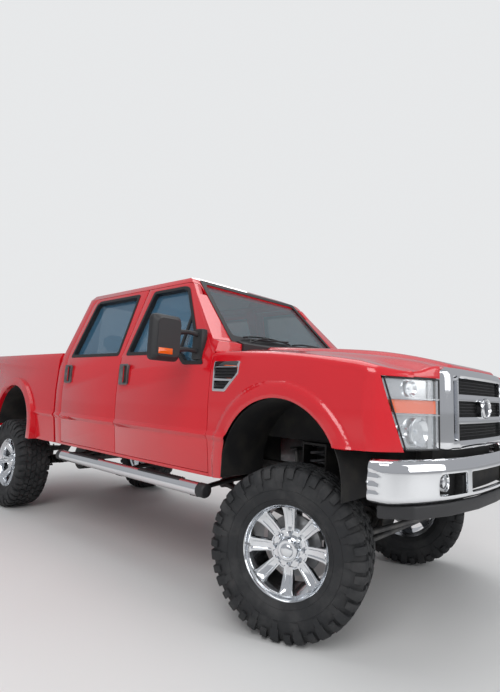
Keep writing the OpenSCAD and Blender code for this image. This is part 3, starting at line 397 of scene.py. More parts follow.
def dress(piece, finish, body, smooth=35.0):
    if piece.name not in bpy.context.scene.collection.objects:
        bpy.context.scene.collection.objects.link(piece)
    names = finish if isinstance(finish, (list, tuple)) else [finish]
    marks = [face.material_index for face in piece.data.polygons]
    piece.data.materials.clear()
    for name in names:
        piece.data.materials.append(finish_of(name))
    piece.data.polygons.foreach_set("material_index", [min(m, len(names) - 1) for m in marks])
    work = bmesh.new()
    work.from_mesh(piece.data)
    bmesh.ops.remove_doubles(work, verts=work.verts, dist=1e-5)
    bmesh.ops.recalc_face_normals(work, faces=work.faces)
    limit = math.radians(smooth)
    for edge in work.edges:
        edge.smooth = len(edge.link_faces) == 2 and edge.calc_face_angle(0.0) < limit
    for face in work.faces:
        face.smooth = True
    work.to_mesh(piece.data)
    work.free()
    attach(piece, body)
    SLOTS.get(names[0], "black_plastic")
    return piece


def applied(piece):
    """Applies a piece's modifiers."""
    bpy.context.view_layer.update()
    graph = bpy.context.evaluated_depsgraph_get()
    mesh = bpy.data.meshes.new_from_object(piece.evaluated_get(graph))
    piece.modifiers.clear()
    piece.data = mesh
    return piece


def thicken(piece, thickness, offset=-1.0, back=0):
    """Gives a sheet a thickness; back is the step to its back face's finish."""
    solid = piece.modifiers.new("thick", "SOLIDIFY")
    solid.thickness = thickness
    solid.offset = offset
    solid.material_offset = back


def roll_edges(piece, width, segments, angle):
    roll = piece.modifiers.new("roll", "BEVEL")
    roll.width = width
    roll.segments = segments
    roll.limit_method = "ANGLE"
    roll.angle_limit = math.radians(angle)
    applied(piece)


def rounded(name, node, finish, body="chassis", width=0.004):
    """A copy of a CAD node with its sharp edges rolled over, standing for that node."""
    mesh = FRAME["nodes"][node].data.copy()
    piece = bpy.data.objects.new(name, mesh)
    bpy.context.scene.collection.objects.link(piece)
    work = bmesh.new()
    work.from_mesh(mesh)
    bmesh.ops.remove_doubles(work, verts=work.verts, dist=1e-5)
    bmesh.ops.dissolve_limit(work, angle_limit=math.radians(0.6), verts=work.verts,
                             edges=work.edges)
    work.to_mesh(mesh)
    work.free()
    roll_edges(piece, width, 3, 28.0)
    dress(piece, finish, body)
    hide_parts(node)


def strip_faces(rings, size, closed_rings=False, closed_rows=True):
    """Quads between rings of points, size points to a ring."""
    faces = []
    for i in range(rings if closed_rings else rings - 1):
        j = (i + 1) % rings
        for k in range(size if closed_rows else size - 1):
            n = (k + 1) % size
            faces.append((i * size + k, i * size + n, j * size + n, j * size + k))
    return faces


def end_caps(rings, size):
    """Faces that close the first and the last ring."""
    return [tuple(range(size))[::-1], tuple((rings - 1) * size + k for k in range(size))]


def rows_of(down, across, point):
    """Rows of points over a patch; point takes the shares, from 0 to 1, down and across it."""
    return [[point(i / down, k / across) for k in range(across + 1)] for i in range(down + 1)]


def span(side, one, two):
    """Limits along Y on one side of the truck, the low one first."""
    return tuple(sorted((side * one, side * two)))


def slab(x0, x1, z0, z1, radius, steps):
    """A rectangle's outline with rounded corners."""
    return eased([(x0, z0), (x1, z0), (x1, z1), (x0, z1)], radius, steps)


def grid_piece(name, rows, finish, body="chassis", thickness=0.0):
    """A sheet through rows of points."""
    width = len(rows[0])
    piece = new_piece(name, [p for row in rows for p in row],
                      strip_faces(len(rows), width, closed_rows=False), finish, body, 35.0)
    if thickness:
        thicken(piece, thickness)
        applied(piece)
    return piece


def merged(name, parts, finish, body="chassis", smooth=35.0):
    """Joins lists of (verts, faces, finish index) into one piece."""
    verts, faces, marks = [], [], []
    for part_verts, part_faces, mark in parts:
        base = len(verts)
        verts += [tuple(v) for v in part_verts]
        faces += [tuple(base + i for i in face) for face in part_faces]
        marks += [mark] * len(part_faces)
    piece = new_piece(name, verts, faces, finish, body, smooth)
    if len(piece.data.polygons) == len(marks):
        piece.data.polygons.foreach_set("material_index", marks)
    return piece


def box_part(x, y, z, cut=0.004):
    """A box with bevelled edges, from its limits along each axis."""
    work = bmesh.new()
    bmesh.ops.create_cube(work, size=1.0)
    for vert in work.verts:
        vert.co = Vector(((x[0] + x[1]) / 2 + vert.co.x * (x[1] - x[0]),
                          (y[0] + y[1]) / 2 + vert.co.y * (y[1] - y[0]),
                          (z[0] + z[1]) / 2 + vert.co.z * (z[1] - z[0])))
    small = min(x[1] - x[0], y[1] - y[0], z[1] - z[0])
    bmesh.ops.bevel(work, geom=list(work.edges), offset=min(cut, small * 0.3), segments=2,
                    profile=0.6, affect="EDGES")
    return taken(work)


def taken(work):
    verts = [vert.co.copy() for vert in work.verts]
    work.verts.index_update()
    faces = [tuple(vert.index for vert in face.verts) for face in work.faces]
    work.free()
    return verts, faces, 0


def tube_part(points, radius, sides=12, closed=False):
    """A round tube through points."""
    points = [Vector(p) for p in points]
    count = len(points)
    verts = []
    side = None
    for i, point in enumerate(points):
        if closed:
            ahead = points[(i + 1) % count] - points[i - 1]
        else:
            ahead = points[min(i + 1, count - 1)] - points[max(i - 1, 0)]
        ahead.normalize()
        if side is None:
            side = ahead.orthogonal().normalized()
        side = (side - ahead * side.dot(ahead)).normalized()
        over = ahead.cross(side)
        size = radius(i / (count - 1)) if callable(radius) else radius
        for k in range(sides):
            turn = 2 * math.pi * k / sides
            verts.append(point + side * (math.cos(turn) * size) + over * (math.sin(turn) * size))
    faces = strip_faces(count, sides, closed_rings=closed)
    return verts, faces if closed else faces + end_caps(count, sides), 0


def lathe_part(profile, place, steps=64, closed=False):
    """Turns (radius, depth) points round an axis; place maps local (x, y, z) to the frame."""
    verts = []
    for radius, depth in profile:
        for k in range(steps):
            turn = 2 * math.pi * k / steps
            verts.append(place(Vector((radius * math.cos(turn), depth, radius * math.sin(turn)))))
    return verts, strip_faces(len(profile), steps, closed_rings=closed), 0


def smoothstep(low_edge, high_edge, value):
    t = min(1.0, max(0.0, (value - low_edge) / (high_edge - low_edge)))
    return t * t * (3 - 2 * t)


def curve_through(points, value):
    """A smooth curve through (x, y) points, flat at no point it needn't be."""
    if value <= points[0][0]:
        return points[0][1]
    for i in range(len(points) - 1):
        (x0, y0), (x1, y1) = points[i], points[i + 1]
        if value <= x1:
            before = points[i - 1] if i else (2 * x0 - x1, 2 * y0 - y1)
            after = points[i + 2] if i + 2 < len(points) else (2 * x1 - x0, 2 * y1 - y0)
            m0 = (y1 - before[1]) / (x1 - before[0]) * (x1 - x0)
            m1 = (after[1] - y0) / (after[0] - x0) * (x1 - x0)
            t = (value - x0) / (x1 - x0)
            return ((2 * t ** 3 - 3 * t ** 2 + 1) * y0 + (t ** 3 - 2 * t ** 2 + t) * m0
                    + (-2 * t ** 3 + 3 * t ** 2) * y1 + (t ** 3 - t ** 2) * m1)
    return points[-1][1]


def arc_points(centre, radius, start, end, steps):
    """Points on an arc in the XZ plane, angles in degrees from +X."""
    return [(centre[0] + radius * math.cos(math.radians(start + (end - start) * i / steps)),
             centre[1] + radius * math.sin(math.radians(start + (end - start) * i / steps)))
            for i in range(steps + 1)]


def eased(outline, radius, steps=5):
    """Rounds an outline's corners; a point may carry its own radius as a third value."""
    result = []
    count = len(outline)
    for i in range(count):
        here = Vector(outline[i][:2])
        before = Vector(outline[i - 1][:2])
        after = Vector(outline[(i + 1) % count][:2])
        size = outline[i][2] if len(outline[i]) > 2 else radius
        one, two = before - here, after - here
        size = min(size, one.length * 0.45, two.length * 0.45)
        if size < 1e-4:
            result.append(tuple(here))
            continue
        start = here + one.normalized() * size
        end = here + two.normalized() * size
        for k in range(steps + 1):
            t = k / steps
            spot = start * (1 - t) ** 2 + here * 2 * t * (1 - t) + end * t ** 2
            result.append(tuple(spot))
    return result


def inside(spot, loop):
    x, z = spot
    hit = False
    for (x0, z0), (x1, z1) in zip(loop, loop[1:] + loop[:1]):
        if (z0 > z) != (z1 > z) and x < (x1 - x0) * (z - z0) / (z1 - z0) + x0:
            hit = not hit
    return hit


def near_edge(spot, loop, reach):
    point = Vector(spot)
    for a, b in zip(loop, loop[1:] + loop[:1]):
        a, b = Vector(a), Vector(b)
        side = b - a
        t = max(0.0, min(1.0, (point - a).dot(side) / max(side.length_squared, 1e-12)))
        if (a + side * t - point).length < reach:
            return True
    return False


def from_axle(outline):
    """An outline measured from the front axle, moved to the frame's origin."""
    return [(AXLE_X + x, z) for x, z in outline]


def cut_edges(loop, longest):
    """Splits an outline's long edges."""
    result = []
    for a, b in zip(loop, loop[1:] + loop[:1]):
        count = max(1, int(math.ceil((Vector(b) - Vector(a)).length / longest)))
        result += [(a[0] + (b[0] - a[0]) * k / count, a[1] + (b[1] - a[1]) * k / count)
                   for k in range(count)]
    return result


def sheet_panel(name, outline, holes, surface, finish, body="chassis", step=0.04, thickness=0.012,
                rows=(), outward=(0, -1, 0)):
    """A shaped panel: a flat outline with holes, filled with a grid and laid on a surface.

    rows are the second coordinates where the surface bends sharply, so the grid follows them.
    Two finishes give the panel's face and its back.
    """
    loops = [cut_edges(list(loop), step) for loop in [outline] + list(holes)]
    points, edges = [], []
    for loop in loops:
        base = len(points)
        points += loop
        edges += [(base + i, base + (i + 1) % len(loop)) for i in range(len(loop))]
    lows = [min(p[k] for p in loops[0]) for k in (0, 1)]
    highs = [max(p[k] for p in loops[0]) for k in (0, 1)]
    levels = sorted(set([lows[1] + step * i for i in range(int((highs[1] - lows[1]) / step) + 1)]
                        + [row for row in rows if lows[1] < row < highs[1]]))
    levels = [z for z in levels if z in rows or not any(abs(z - row) < step * 0.3 for row in rows)]
    for z in levels:
        x = lows[0] + step / 2
        while x < highs[0]:
            if inside((x, z), loops[0]) and not any(inside((x, z), hole) for hole in loops[1:]):
                if not any(near_edge((x, z), loop, step * 0.3) for loop in loops):
                    points.append((x, z))
            x += step
    made = delaunay_2d_cdt([Vector(p) for p in points], edges, [], 0, 1e-6)
    flat = [tuple(p) for p in made[0]]
    faces = []
    for face in made[2]:
        middle = tuple(sum(flat[i][k] for i in face) / len(face) for k in (0, 1))
        if inside(middle, loops[0]) and not any(inside(middle, hole) for hole in loops[1:]):
            faces.append(tuple(face))
    mesh = bpy.data.meshes.new(name)
    mesh.from_pydata([surface(*p) for p in flat], [], faces)
    two_sided = isinstance(finish, (list, tuple))
    for shown in (finish if two_sided else [finish]):
        mesh.materials.append(finish_of(shown))
    piece = bpy.data.objects.new(name, mesh)
    bpy.context.scene.collection.objects.link(piece)
    work = bmesh.new()
    work.from_mesh(mesh)
    bmesh.ops.recalc_face_normals(work, faces=work.faces)
    total = sum((face.normal * face.calc_area() for face in work.faces), Vector())
    if total.dot(Vector(outward)) < 0:
        bmesh.ops.reverse_faces(work, faces=work.faces)
    work.to_mesh(mesh)
    work.free()
    thicken(piece, thickness, back=1 if two_sided else 0)
    roll_edges(piece, min(0.0025, thickness * 0.35), 2, 60)
    return dress(piece, finish, body, 40.0)


# ---------------------------------------------------------------- body


SIDES = (("right", -1), ("left", 1))


def side_y(z):
    """Half-width of the body at a height: tucked sill, crease, swelling waist, glasshouse."""
    return curve_through(SIDE_LINE, z)


SIDE_LINE = ((0.785, 0.945), (0.90, 0.961), (1.03, 0.979), (1.064, 0.998), (1.072, 0.998),
             (1.10, 0.985), (1.30, 0.990), (1.51, 0.982), (1.615, 0.966), (1.64, 0.961),
             (2.2722, 0.7445))
NOSE_PLAN = ((0.50, 1.06), (0.575, 0.995), (0.65, 0.955), (0.775, 0.79), (0.843, 0.598))


def skin(side, inset=0.0, flare_x=None):
    """The painted side surface: (x, z) to a point, with a wheel-arch flare where one is given."""
    body = bpy.context.scene.pickup_body

    def place(x, z):
        y = side_y(z)
        local = x - AXLE_X
        if local > 0.5:
            y = min(y, curve_through(NOSE_PLAN, local) - 0.002)
        if flare_x is not None:
            reach = math.hypot(x - flare_x, z - body.arch_z)
            if z > body.arch_z:
                away = reach
            else:
                away = abs(x - flare_x) * 0.96 + reach * 0.04
            edge = body.arch_r + body.flare_w
            stand = 1 - smoothstep(edge - 0.004, edge + 0.010, away)
            roll = smoothstep(edge - 0.03, edge - 0.004, away)
            lip = 1 - smoothstep(body.arch_r, body.arch_r + 0.012, away)
            fade = 1 - smoothstep(0.50, 0.62, local) if local > 0.5 else 1.0
            y += fade * (body.flare_out * stand * (1 - 0.25 * roll) - 0.008 * lip * stand)
        return Vector((x, side * (y - inset), z))
    return place


class PICKUP_OT_cab(bpy.types.Operator):
    """Finishes the cab shell"""
    bl_idname = "pickup.cab"
    bl_label = "Cab"

    def execute(self, context):
        rounded("cab_shell", "cab", "paint", width=0.006)
        return {"FINISHED"}


class PICKUP_OT_bed(bpy.types.Operator):
    """Finishes the bed, the tailgate and the tail lamps"""
    bl_idname = "pickup.bed"
    bl_label = "Bed and Tailgate"

    def execute(self, context):
        rounded("bed_box", "bed", "paint", width=0.005)
        rounded("tailgate_panel", "tailgate", "paint", body="tailgate", width=0.006)
        rounded("tail_lamps", "taillights", "red_lens", width=0.006)
        return {"FINISHED"}


# ---------------------------------------------------------------- wheels


WHEELS = ("right_front", "left_front", "right_rear", "left_rear")
BEAD_R = 0.2545


def wheel_place(name):
    """Maps (across, outward, up) in a wheel to the frame."""
    joint = JOINTS[name + "_spin"]
    centre = Vector(joint["pos_m"])
    out = Vector(joint["axis"]).normalized() * (-1 if name.startswith("right") else 1)
    rise = Vector((0, 0, 1))
    run = out.cross(rise)
    return lambda v: centre + run * v[0] + out * v[1] + rise * v[2]


def ring_block(place, section, start, end, ease=0.0035, lean=0.0):
    """A tread block: a closed (radius, depth) section swept through an angle, its ends eased."""
    middle = sum(p[0] for p in section) / len(section)
    turns = ((start, 1), (start + (end - start) * 0.09, 0), ((start + end) / 2, 0),
             (end - (end - start) * 0.09, 0), (end, 1))
    verts = []
    for turn, drop in turns:
        for radius, depth in section:
            if drop and radius > middle:
                radius -= ease
            angle = turn + lean * depth
            verts.append(place((radius * math.cos(angle), depth, radius * math.sin(angle))))
    shape = (len(turns), len(section))
    return verts, strip_faces(*shape) + end_caps(*shape), 0


class PICKUP_OT_tyres(bpy.types.Operator):
    """Makes the mud tyres: carcass, tread blocks and side lugs"""
    bl_idname = "pickup.tyres"
    bl_label = "Tyres"

    def execute(self, context):
        sizes = context.scene.pickup_wheels
        base = TYRE_R - sizes.tread_depth
        for name in WHEELS:
            place = wheel_place(name)
            half = [(BEAD_R, 0.118), (BEAD_R + 0.004, 0.130), (0.268, 0.1385), (0.276, 0.1405),
                    (0.282, 0.1475), (0.30, 0.1535), (0.33, 0.1595), (0.36, 0.1615),
                    (0.385, 0.1580), (0.41, 0.152), (0.435, 0.141), (0.448, 0.130),
                    (base, 0.118), (base + 0.002, 0.06), (base + 0.003, 0.0)]
            profile = [(r, -d) for r, d in half] + [(r, d) for r, d in half[-2::-1]]
            parts = [lathe_part(profile, place, steps=96, closed=True)]
            count = sizes.tread_rows
            pitch = 2 * math.pi / count
            for k in range(count):
                turn = k * pitch
                for side in (-1, 1):
                    lag = 0.5 * pitch if side > 0 else 0.0
                    inner = [(base - 0.004, side * 0.005), (TYRE_R, side * 0.006),
                             (TYRE_R, side * 0.046), (base - 0.004, side * 0.048)]
                    parts.append(ring_block(place, inner, turn + lag + pitch * 0.10,
                                            turn + lag + pitch * 0.86, lean=side * 1.1))
                    outer = [(base - 0.004, side * 0.054), (TYRE_R - 0.0005, side * 0.055),
                             (TYRE_R - 0.002, side * 0.096), (base - 0.004, side * 0.098)]
                    parts.append(ring_block(place, outer, turn + lag + pitch * 0.34,
                                            turn + lag + pitch * 1.12, lean=-side * 0.9))
                    long_lug = k % 2 == 0
                    foot = 0.392 if long_lug else 0.414
                    shoulder = [(base - 0.006, side * 0.104), (TYRE_R - 0.0025, side * 0.105),
                                (TYRE_R - 0.006, side * 0.134), (TYRE_R - 0.014, side * 0.149),
                                (0.445, side * 0.158), (0.425, side * 0.1645),
                                (foot, side * 0.1655), (foot - 0.004, side * 0.156),
                                (0.43, side * 0.148)]
                    parts.append(ring_block(place, shoulder, turn + lag + pitch * 0.12,
                                            turn + lag + pitch * (0.82 if long_lug else 0.66)))
                    if long_lug:
                        rib = [(0.352, side * 0.157), (0.352, side * 0.1642),
                               (0.392, side * 0.1650), (0.392, side * 0.156)]
                        parts.append(ring_block(place, rib, turn + lag + pitch * 0.2,
                                                turn + lag + pitch * 0.72, ease=0.002))
            for radius, depth in ((0.289, 0.1505), (0.345, 0.1612)):
                for side in (-1, 1):
                    rim = [(radius - 0.003, side * (depth - 0.002)),
                           (radius, side * (depth + 0.0018)),
                           (radius + 0.003, side * (depth - 0.001))]
                    parts.append(lathe_part(rim, place, steps=96))
            tyre = merged(name + "_tyre_tread", parts, "rubber", name + "_wheel", 38.0)
            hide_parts(name + "_tyre")
        return {"FINISHED"}


class PICKUP_OT_wheels(bpy.types.Operator):
    """Makes the polished eight-spoke wheels, their nuts, caps and brake discs"""
    bl_idname = "pickup.wheels"
    bl_label = "Wheels"

    def execute(self, context):
        sizes = context.scene.pickup_wheels
        for name in WHEELS:
            place = wheel_place(name)
            barrel = [(0.232, -0.118), (0.262, -0.127), (0.270, -0.124), (0.2545, -0.10),
                      (0.246, -0.05), (0.246, 0.06), (0.2545, 0.110), (0.2735, 0.1285),
                      (0.2725, 0.1335), (0.2665, 0.1345), (0.2580, 0.1290), (0.2490, 0.1110),
                      (0.2440, 0.1010), (0.2380, 0.0930), (0.2360, 0.05), (0.2340, -0.05),
                      (0.228, -0.112)]
            parts = [lathe_part(barrel, place, steps=128, closed=True)]
            count = sizes.spokes
            for k in range(count):
                parts.append(self.spoke(place, 2 * math.pi * k / count))
            hub = [(0.0, 0.010), (0.118, 0.010), (0.121, 0.020), (0.121, 0.040), (0.116, 0.047),
                   (0.108, 0.049), (0.104, 0.045), (0.070, 0.045), (0.066, 0.052)]
            parts.append(lathe_part(hub, place, steps=96))
            cap = [(0.066, 0.045), (0.064, 0.088), (0.061, 0.094), (0.054, 0.097),
                   (0.052, 0.093), (0.040, 0.093), (0.037, 0.098), (0.030, 0.103),
                   (0.016, 0.106), (0.0, 0.107)]
            parts.append(lathe_part(cap, place, steps=72))
            for k in range(count):
                turn = 2 * math.pi * k / count
                parts.append(self.nut(place, sizes.lug_circle * math.cos(turn),
                                      sizes.lug_circle * math.sin(turn)))
            wheel = merged(name + "_wheel_face", parts, "alloy", name + "_wheel", 34.0)
            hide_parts(name + "_rim")
            self.stem(name, place)
        return {"FINISHED"}

    def spoke(self, place, turn):
        """A pair of bars with a trough between them, widening to the barrel."""
        rows = []
        for i in range(15):
            t = i / 14
            radius = 0.098 + (0.243 - 0.098) * t
            width = 0.0300 + 0.012 * t ** 1.3 + 0.009 * smoothstep(0.82, 1.0, t)
            face = 0.052 + 0.040 * t ** 1.3 - 0.006 * math.sin(math.pi * t)
            trough = 0.006 * smoothstep(0.02, 0.25, t) * (1 - smoothstep(0.80, 0.98, t))
            deep = face - 0.034
            section = [(-1.0, deep), (-1.0, face - 0.007), (-0.90, face - 0.001), (-0.66, face),
                       (-0.50, face - 0.002), (-0.40, face - trough),
                       (0.0, face - trough * 1.12), (0.40, face - trough),
                       (0.50, face - 0.002), (0.66, face), (0.90, face - 0.001),
                       (1.0, face - 0.007), (1.0, deep)]
            row = []
            for across, depth in section:
                x, z = radius, across * width
                row.append(place((x * math.cos(turn) - z * math.sin(turn), depth,
                                  x * math.sin(turn) + z * math.cos(turn))))
            rows.append(row)
        return [p for row in rows for p in row], strip_faces(len(rows), len(rows[0])), 0

    def nut(self, place, x, z):
        profile = [(0.0165, 0.040), (0.0150, 0.048), (0.0125, 0.050), (0.0125, 0.078),
                   (0.0105, 0.083), (0.0, 0.0845)]
        verts = []
        for radius, depth in profile:
            for k in range(6):
                turn = math.pi / 3 * k
                verts.append(place((x + radius * math.cos(turn), depth,
                                    z + radius * math.sin(turn))))
        return verts, strip_faces(len(profile), 6), 0

    def stem(self, name, place):
        disc = [(0.0, -0.03), (0.17, -0.03), (0.172, -0.033), (0.172, -0.052), (0.17, -0.055),
                (0.0, -0.055)]
        parts = [lathe_part(disc, place, steps=72),
                 tube_part([place((0.236, 0.088, 0.0)), place((0.228, 0.104, 0.0)),
                            place((0.219, 0.118, 0.0))], 0.0045, 8)]
        merged(name + "_brake_disc", parts, "disc", name + "_wheel")


# ---------------------------------------------------------------- front end


GRILLE_PLAN = ((0.0, 0.899), (0.33, 0.889), (0.48, 0.870), (0.53, 0.858), (0.585, 0.812))
LAMP_PLAN = ((0.640, 0.956), (0.700, 0.892), (0.774, 0.790), (0.815, 0.690), (0.841, 0.599))


def grille_face(y, z):
    """The grille's front: a crowned frame, rolled back at its top, foot and ends."""
    x = curve_through(GRILLE_PLAN, abs(y))
    x -= 0.030 * smoothstep(1.500, 1.562, z) ** 2 + 0.010 * (1 - smoothstep(1.096, 1.122, z))
    x -= 0.012 * (1 - smoothstep(0.395, 0.425, abs(y))) * smoothstep(1.125, 1.14, z) * (
        1 - smoothstep(1.50, 1.515, z))
    return Vector((AXLE_X + x, y, z))


class PICKUP_OT_grille(bpy.types.Operator):
    """Makes the grille: bright frame and bars, dark mesh and a bare boss"""
    bl_idname = "pickup.grille"
    bl_label = "Grille"

    def execute(self, context):
        wide, sunk = 0.588, Vector((0.030, 0, 0))
        feet = [1.143 + 0.132 * k for k in range(3)]
        outline = eased([(-wide, 1.097), (wide, 1.097), (wide, 1.558, 0.05), (-wide, 1.558, 0.05)],
                        0.02, 6)
        holes = [slab(-0.405, 0.405, foot, foot + 0.094, 0.008, 3) for foot in feet]
        holes += [slab(*span(side, 0.434, 0.482), 1.143, 1.512, 0.014, 4) for side in (-1, 1)]
        frame = sheet_panel("grille_frame", outline, holes, grille_face, "chrome",
                            step=0.022, thickness=0.052, outward=(1, 0, 0))
        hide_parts("grille")

        def behind(t, across):
            z = 1.11 + 0.435 * t
            return grille_face(-0.52 + 1.04 * across, min(z, 1.5)) + Vector(
                (-0.040, 0, z - min(z, 1.5)))

        rows = rows_of(24, 40, behind)
        grid_piece("grille_mesh", rows, "mesh", thickness=0.004)
        bars = []
        for foot in feet:
            for i in range(1, 5):
                bars.append(tube_part([grille_face(-0.41 + 0.82 * j / 24, foot + 0.019 * i) - sunk
                                       for j in range(25)], 0.0022, 6))
            for i in range(54):
                y = -0.398 + 0.796 * i / 53
                bars.append(tube_part([grille_face(y, foot - 0.004) - Vector((0.033, 0, 0)),
                                       grille_face(y, foot + 0.098) - Vector((0.033, 0, 0))],
                                      0.0020, 6))
        merged("grille_bars", bars, "trim")
        place = lambda v: Vector((AXLE_X + 0.885 + v[1], v[0], 1.3275 + v[2] * 0.82))
        ring = [(0.0, -0.030), (0.066, -0.030), (0.076, -0.004), (0.079, 0.010),
                (0.077, 0.021), (0.071, 0.027), (0.064, 0.024), (0.061, 0.014), (0.0, 0.014)]
        dome = [(0.0600, 0.0145), (0.050, 0.0185), (0.030, 0.0215), (0.0, 0.0225)]
        merged("grille_boss", [lathe_part(ring, place, 72)], "chrome")
        merged("grille_boss_face", [lathe_part(dome, place, 72)], "boss")
        return {"FINISHED"}


def lamp_face(side, u, z, inset=0.0):
    """The lamp's outer surface: u runs from its inner end to its outer end."""
    outer = 0.668 + (1.480 - z) / 0.38 * 0.08
    x = 0.839 + (outer - 0.839) * u
    y = curve_through(LAMP_PLAN, x)
    slope = (curve_through(LAMP_PLAN, x + 0.004) - curve_through(LAMP_PLAN, x - 0.004)) / 0.008
    normal = Vector((-slope, 1.0, 0.0)).normalized()
    spot = Vector((x, y, z)) - normal * inset
    return Vector((AXLE_X + spot.x, side * spot.y, spot.z))


class PICKUP_OT_lamps(bpy.types.Operator):
    """Makes the headlights: housing, reflectors, amber band and clear lens"""
    bl_idname = "pickup.lamps"
    bl_label = "Headlights"

    def execute(self, context):
        for name, side in SIDES:
            lens = self.sheet(side, 0.010, 0.990, 1.106, 1.474, 0.0, name + "_lamp_lens",
                              "clear", 0.003, crown=0.012)
            edge = [(0.0, 1.102), (0.5, 1.102), (1.0, 1.102), (1.0, 1.3), (1.0, 1.478),
                    (0.5, 1.478), (0.0, 1.478), (0.0, 1.3)]
            points = []
            for (u0, z0), (u1, z1) in zip(edge, edge[1:] + edge[:1]):
                points += [lamp_face(side, u0 + (u1 - u0) * k / 8, z0 + (z1 - z0) * k / 8, 0.006)
                           for k in range(8)]
            merged(name + "_lamp_seal", [tube_part(points, 0.005, 8, closed=True)], "trim")
            self.sheet(side, 0.0, 1.0, 1.102, 1.478, 0.050, name + "_lamp_housing", "reflector",
                       0.004)
            self.sheet(side, 0.05, 0.985, 1.292, 1.362, 0.014, name + "_lamp_amber", "amber",
                       0.012)
            for end, foot in (("top", 1.366), ("low", 1.281)):
                self.sheet(side, 0.02, 0.99, foot, foot + 0.007, 0.010, name + "_lamp_rail_" + end,
                           "reflector", 0.03)
            bowls = [self.bowl(side, *bowl) for bowl in (
                (0.40, 1.195, 0.078, 0.055), (0.42, 1.423, 0.044, 0.036),
                (0.86, 1.195, 0.034, 0.03))]
            merged(name + "_lamp_bowls", bowls, "reflector")
        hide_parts("headlights")
        return {"FINISHED"}

    def sheet(self, side, u0, u1, z0, z1, inset, name, finish, thickness, crown=0.0):
        def face(up, along):
            bulge = max(0.0, math.sin(math.pi * up) * math.sin(math.pi * along)) ** 0.5
            return lamp_face(side, u0 + (u1 - u0) * along, z0 + (z1 - z0) * up,
                             inset - crown * bulge + crown)

        rows = rows_of(12, 24, face)
        if side < 0:
            rows = [row[::-1] for row in rows]
        piece = grid_piece(name, rows, finish)
        thicken(piece, thickness, 0.0)
        return applied(piece)

    def bowl(self, side, u, z, size, depth):
        centre = lamp_face(side, u, z, 0.046)
        out = (lamp_face(side, u, z, 0.0) - centre).normalized()
        out = (out + Vector((0.9, 0, 0))).normalized()
        run = out.cross(Vector((0, 0, 1))).normalized()
        rise = run.cross(out)
        place = lambda v: centre + run * v[0] + out * v[1] + rise * v[2]
        shell = ((0.18, -0.4), (0.35, -0.32), (0.62, -0.05), (0.85, 0.28), (0.97, 0.52), (1, 0.5),
                 (0.9, 0.2), (0.6, -0.2))
        bulb = ((0.0, 0.25), (0.10, 0.22), (0.14, 0.1), (0.16, -0.4))
        one, two = (lathe_part([(size * r, depth * d) for r, d in profile], place, steps)
                    for profile, steps in ((shell, 48), (bulb, 24)))
        base = len(one[0])
        return one[0] + two[0], one[1] + [tuple(base + i for i in f) for f in two[1]], 0


BUMPER_PLAN = ((0.0, 0.965), (0.30, 0.957), (0.62, 0.905), (0.86, 0.815), (0.955, 0.745),
               (0.992, 0.69), (1.004, 0.61))


def path_tables(plan):
    """(y, x) points of a plan turned into tables of x and y by distance along it."""
    fine = []
    for (y0, x0), (y1, x1) in zip(plan, plan[1:]):
        fine += [(y0 + (y1 - y0) * k / 6, x0 + (x1 - x0) * k / 6) for k in range(6)]
    fine.append(plan[-1])
    run, xs, ys = 0.0, [], []
    for _ in range(6):
        smooth = [fine[0]] + [tuple((a[k] + 2 * b[k] + c[k]) / 4 for k in (0, 1))
                              for a, b, c in zip(fine, fine[1:], fine[2:])] + [fine[-1]]
        fine = smooth
    for i, (y, x) in enumerate(fine):
        if i:
            run += math.hypot(y - fine[i - 1][0], x - fine[i - 1][1])
        xs.append((run, x))
        ys.append((run, y))
    return xs, ys, run


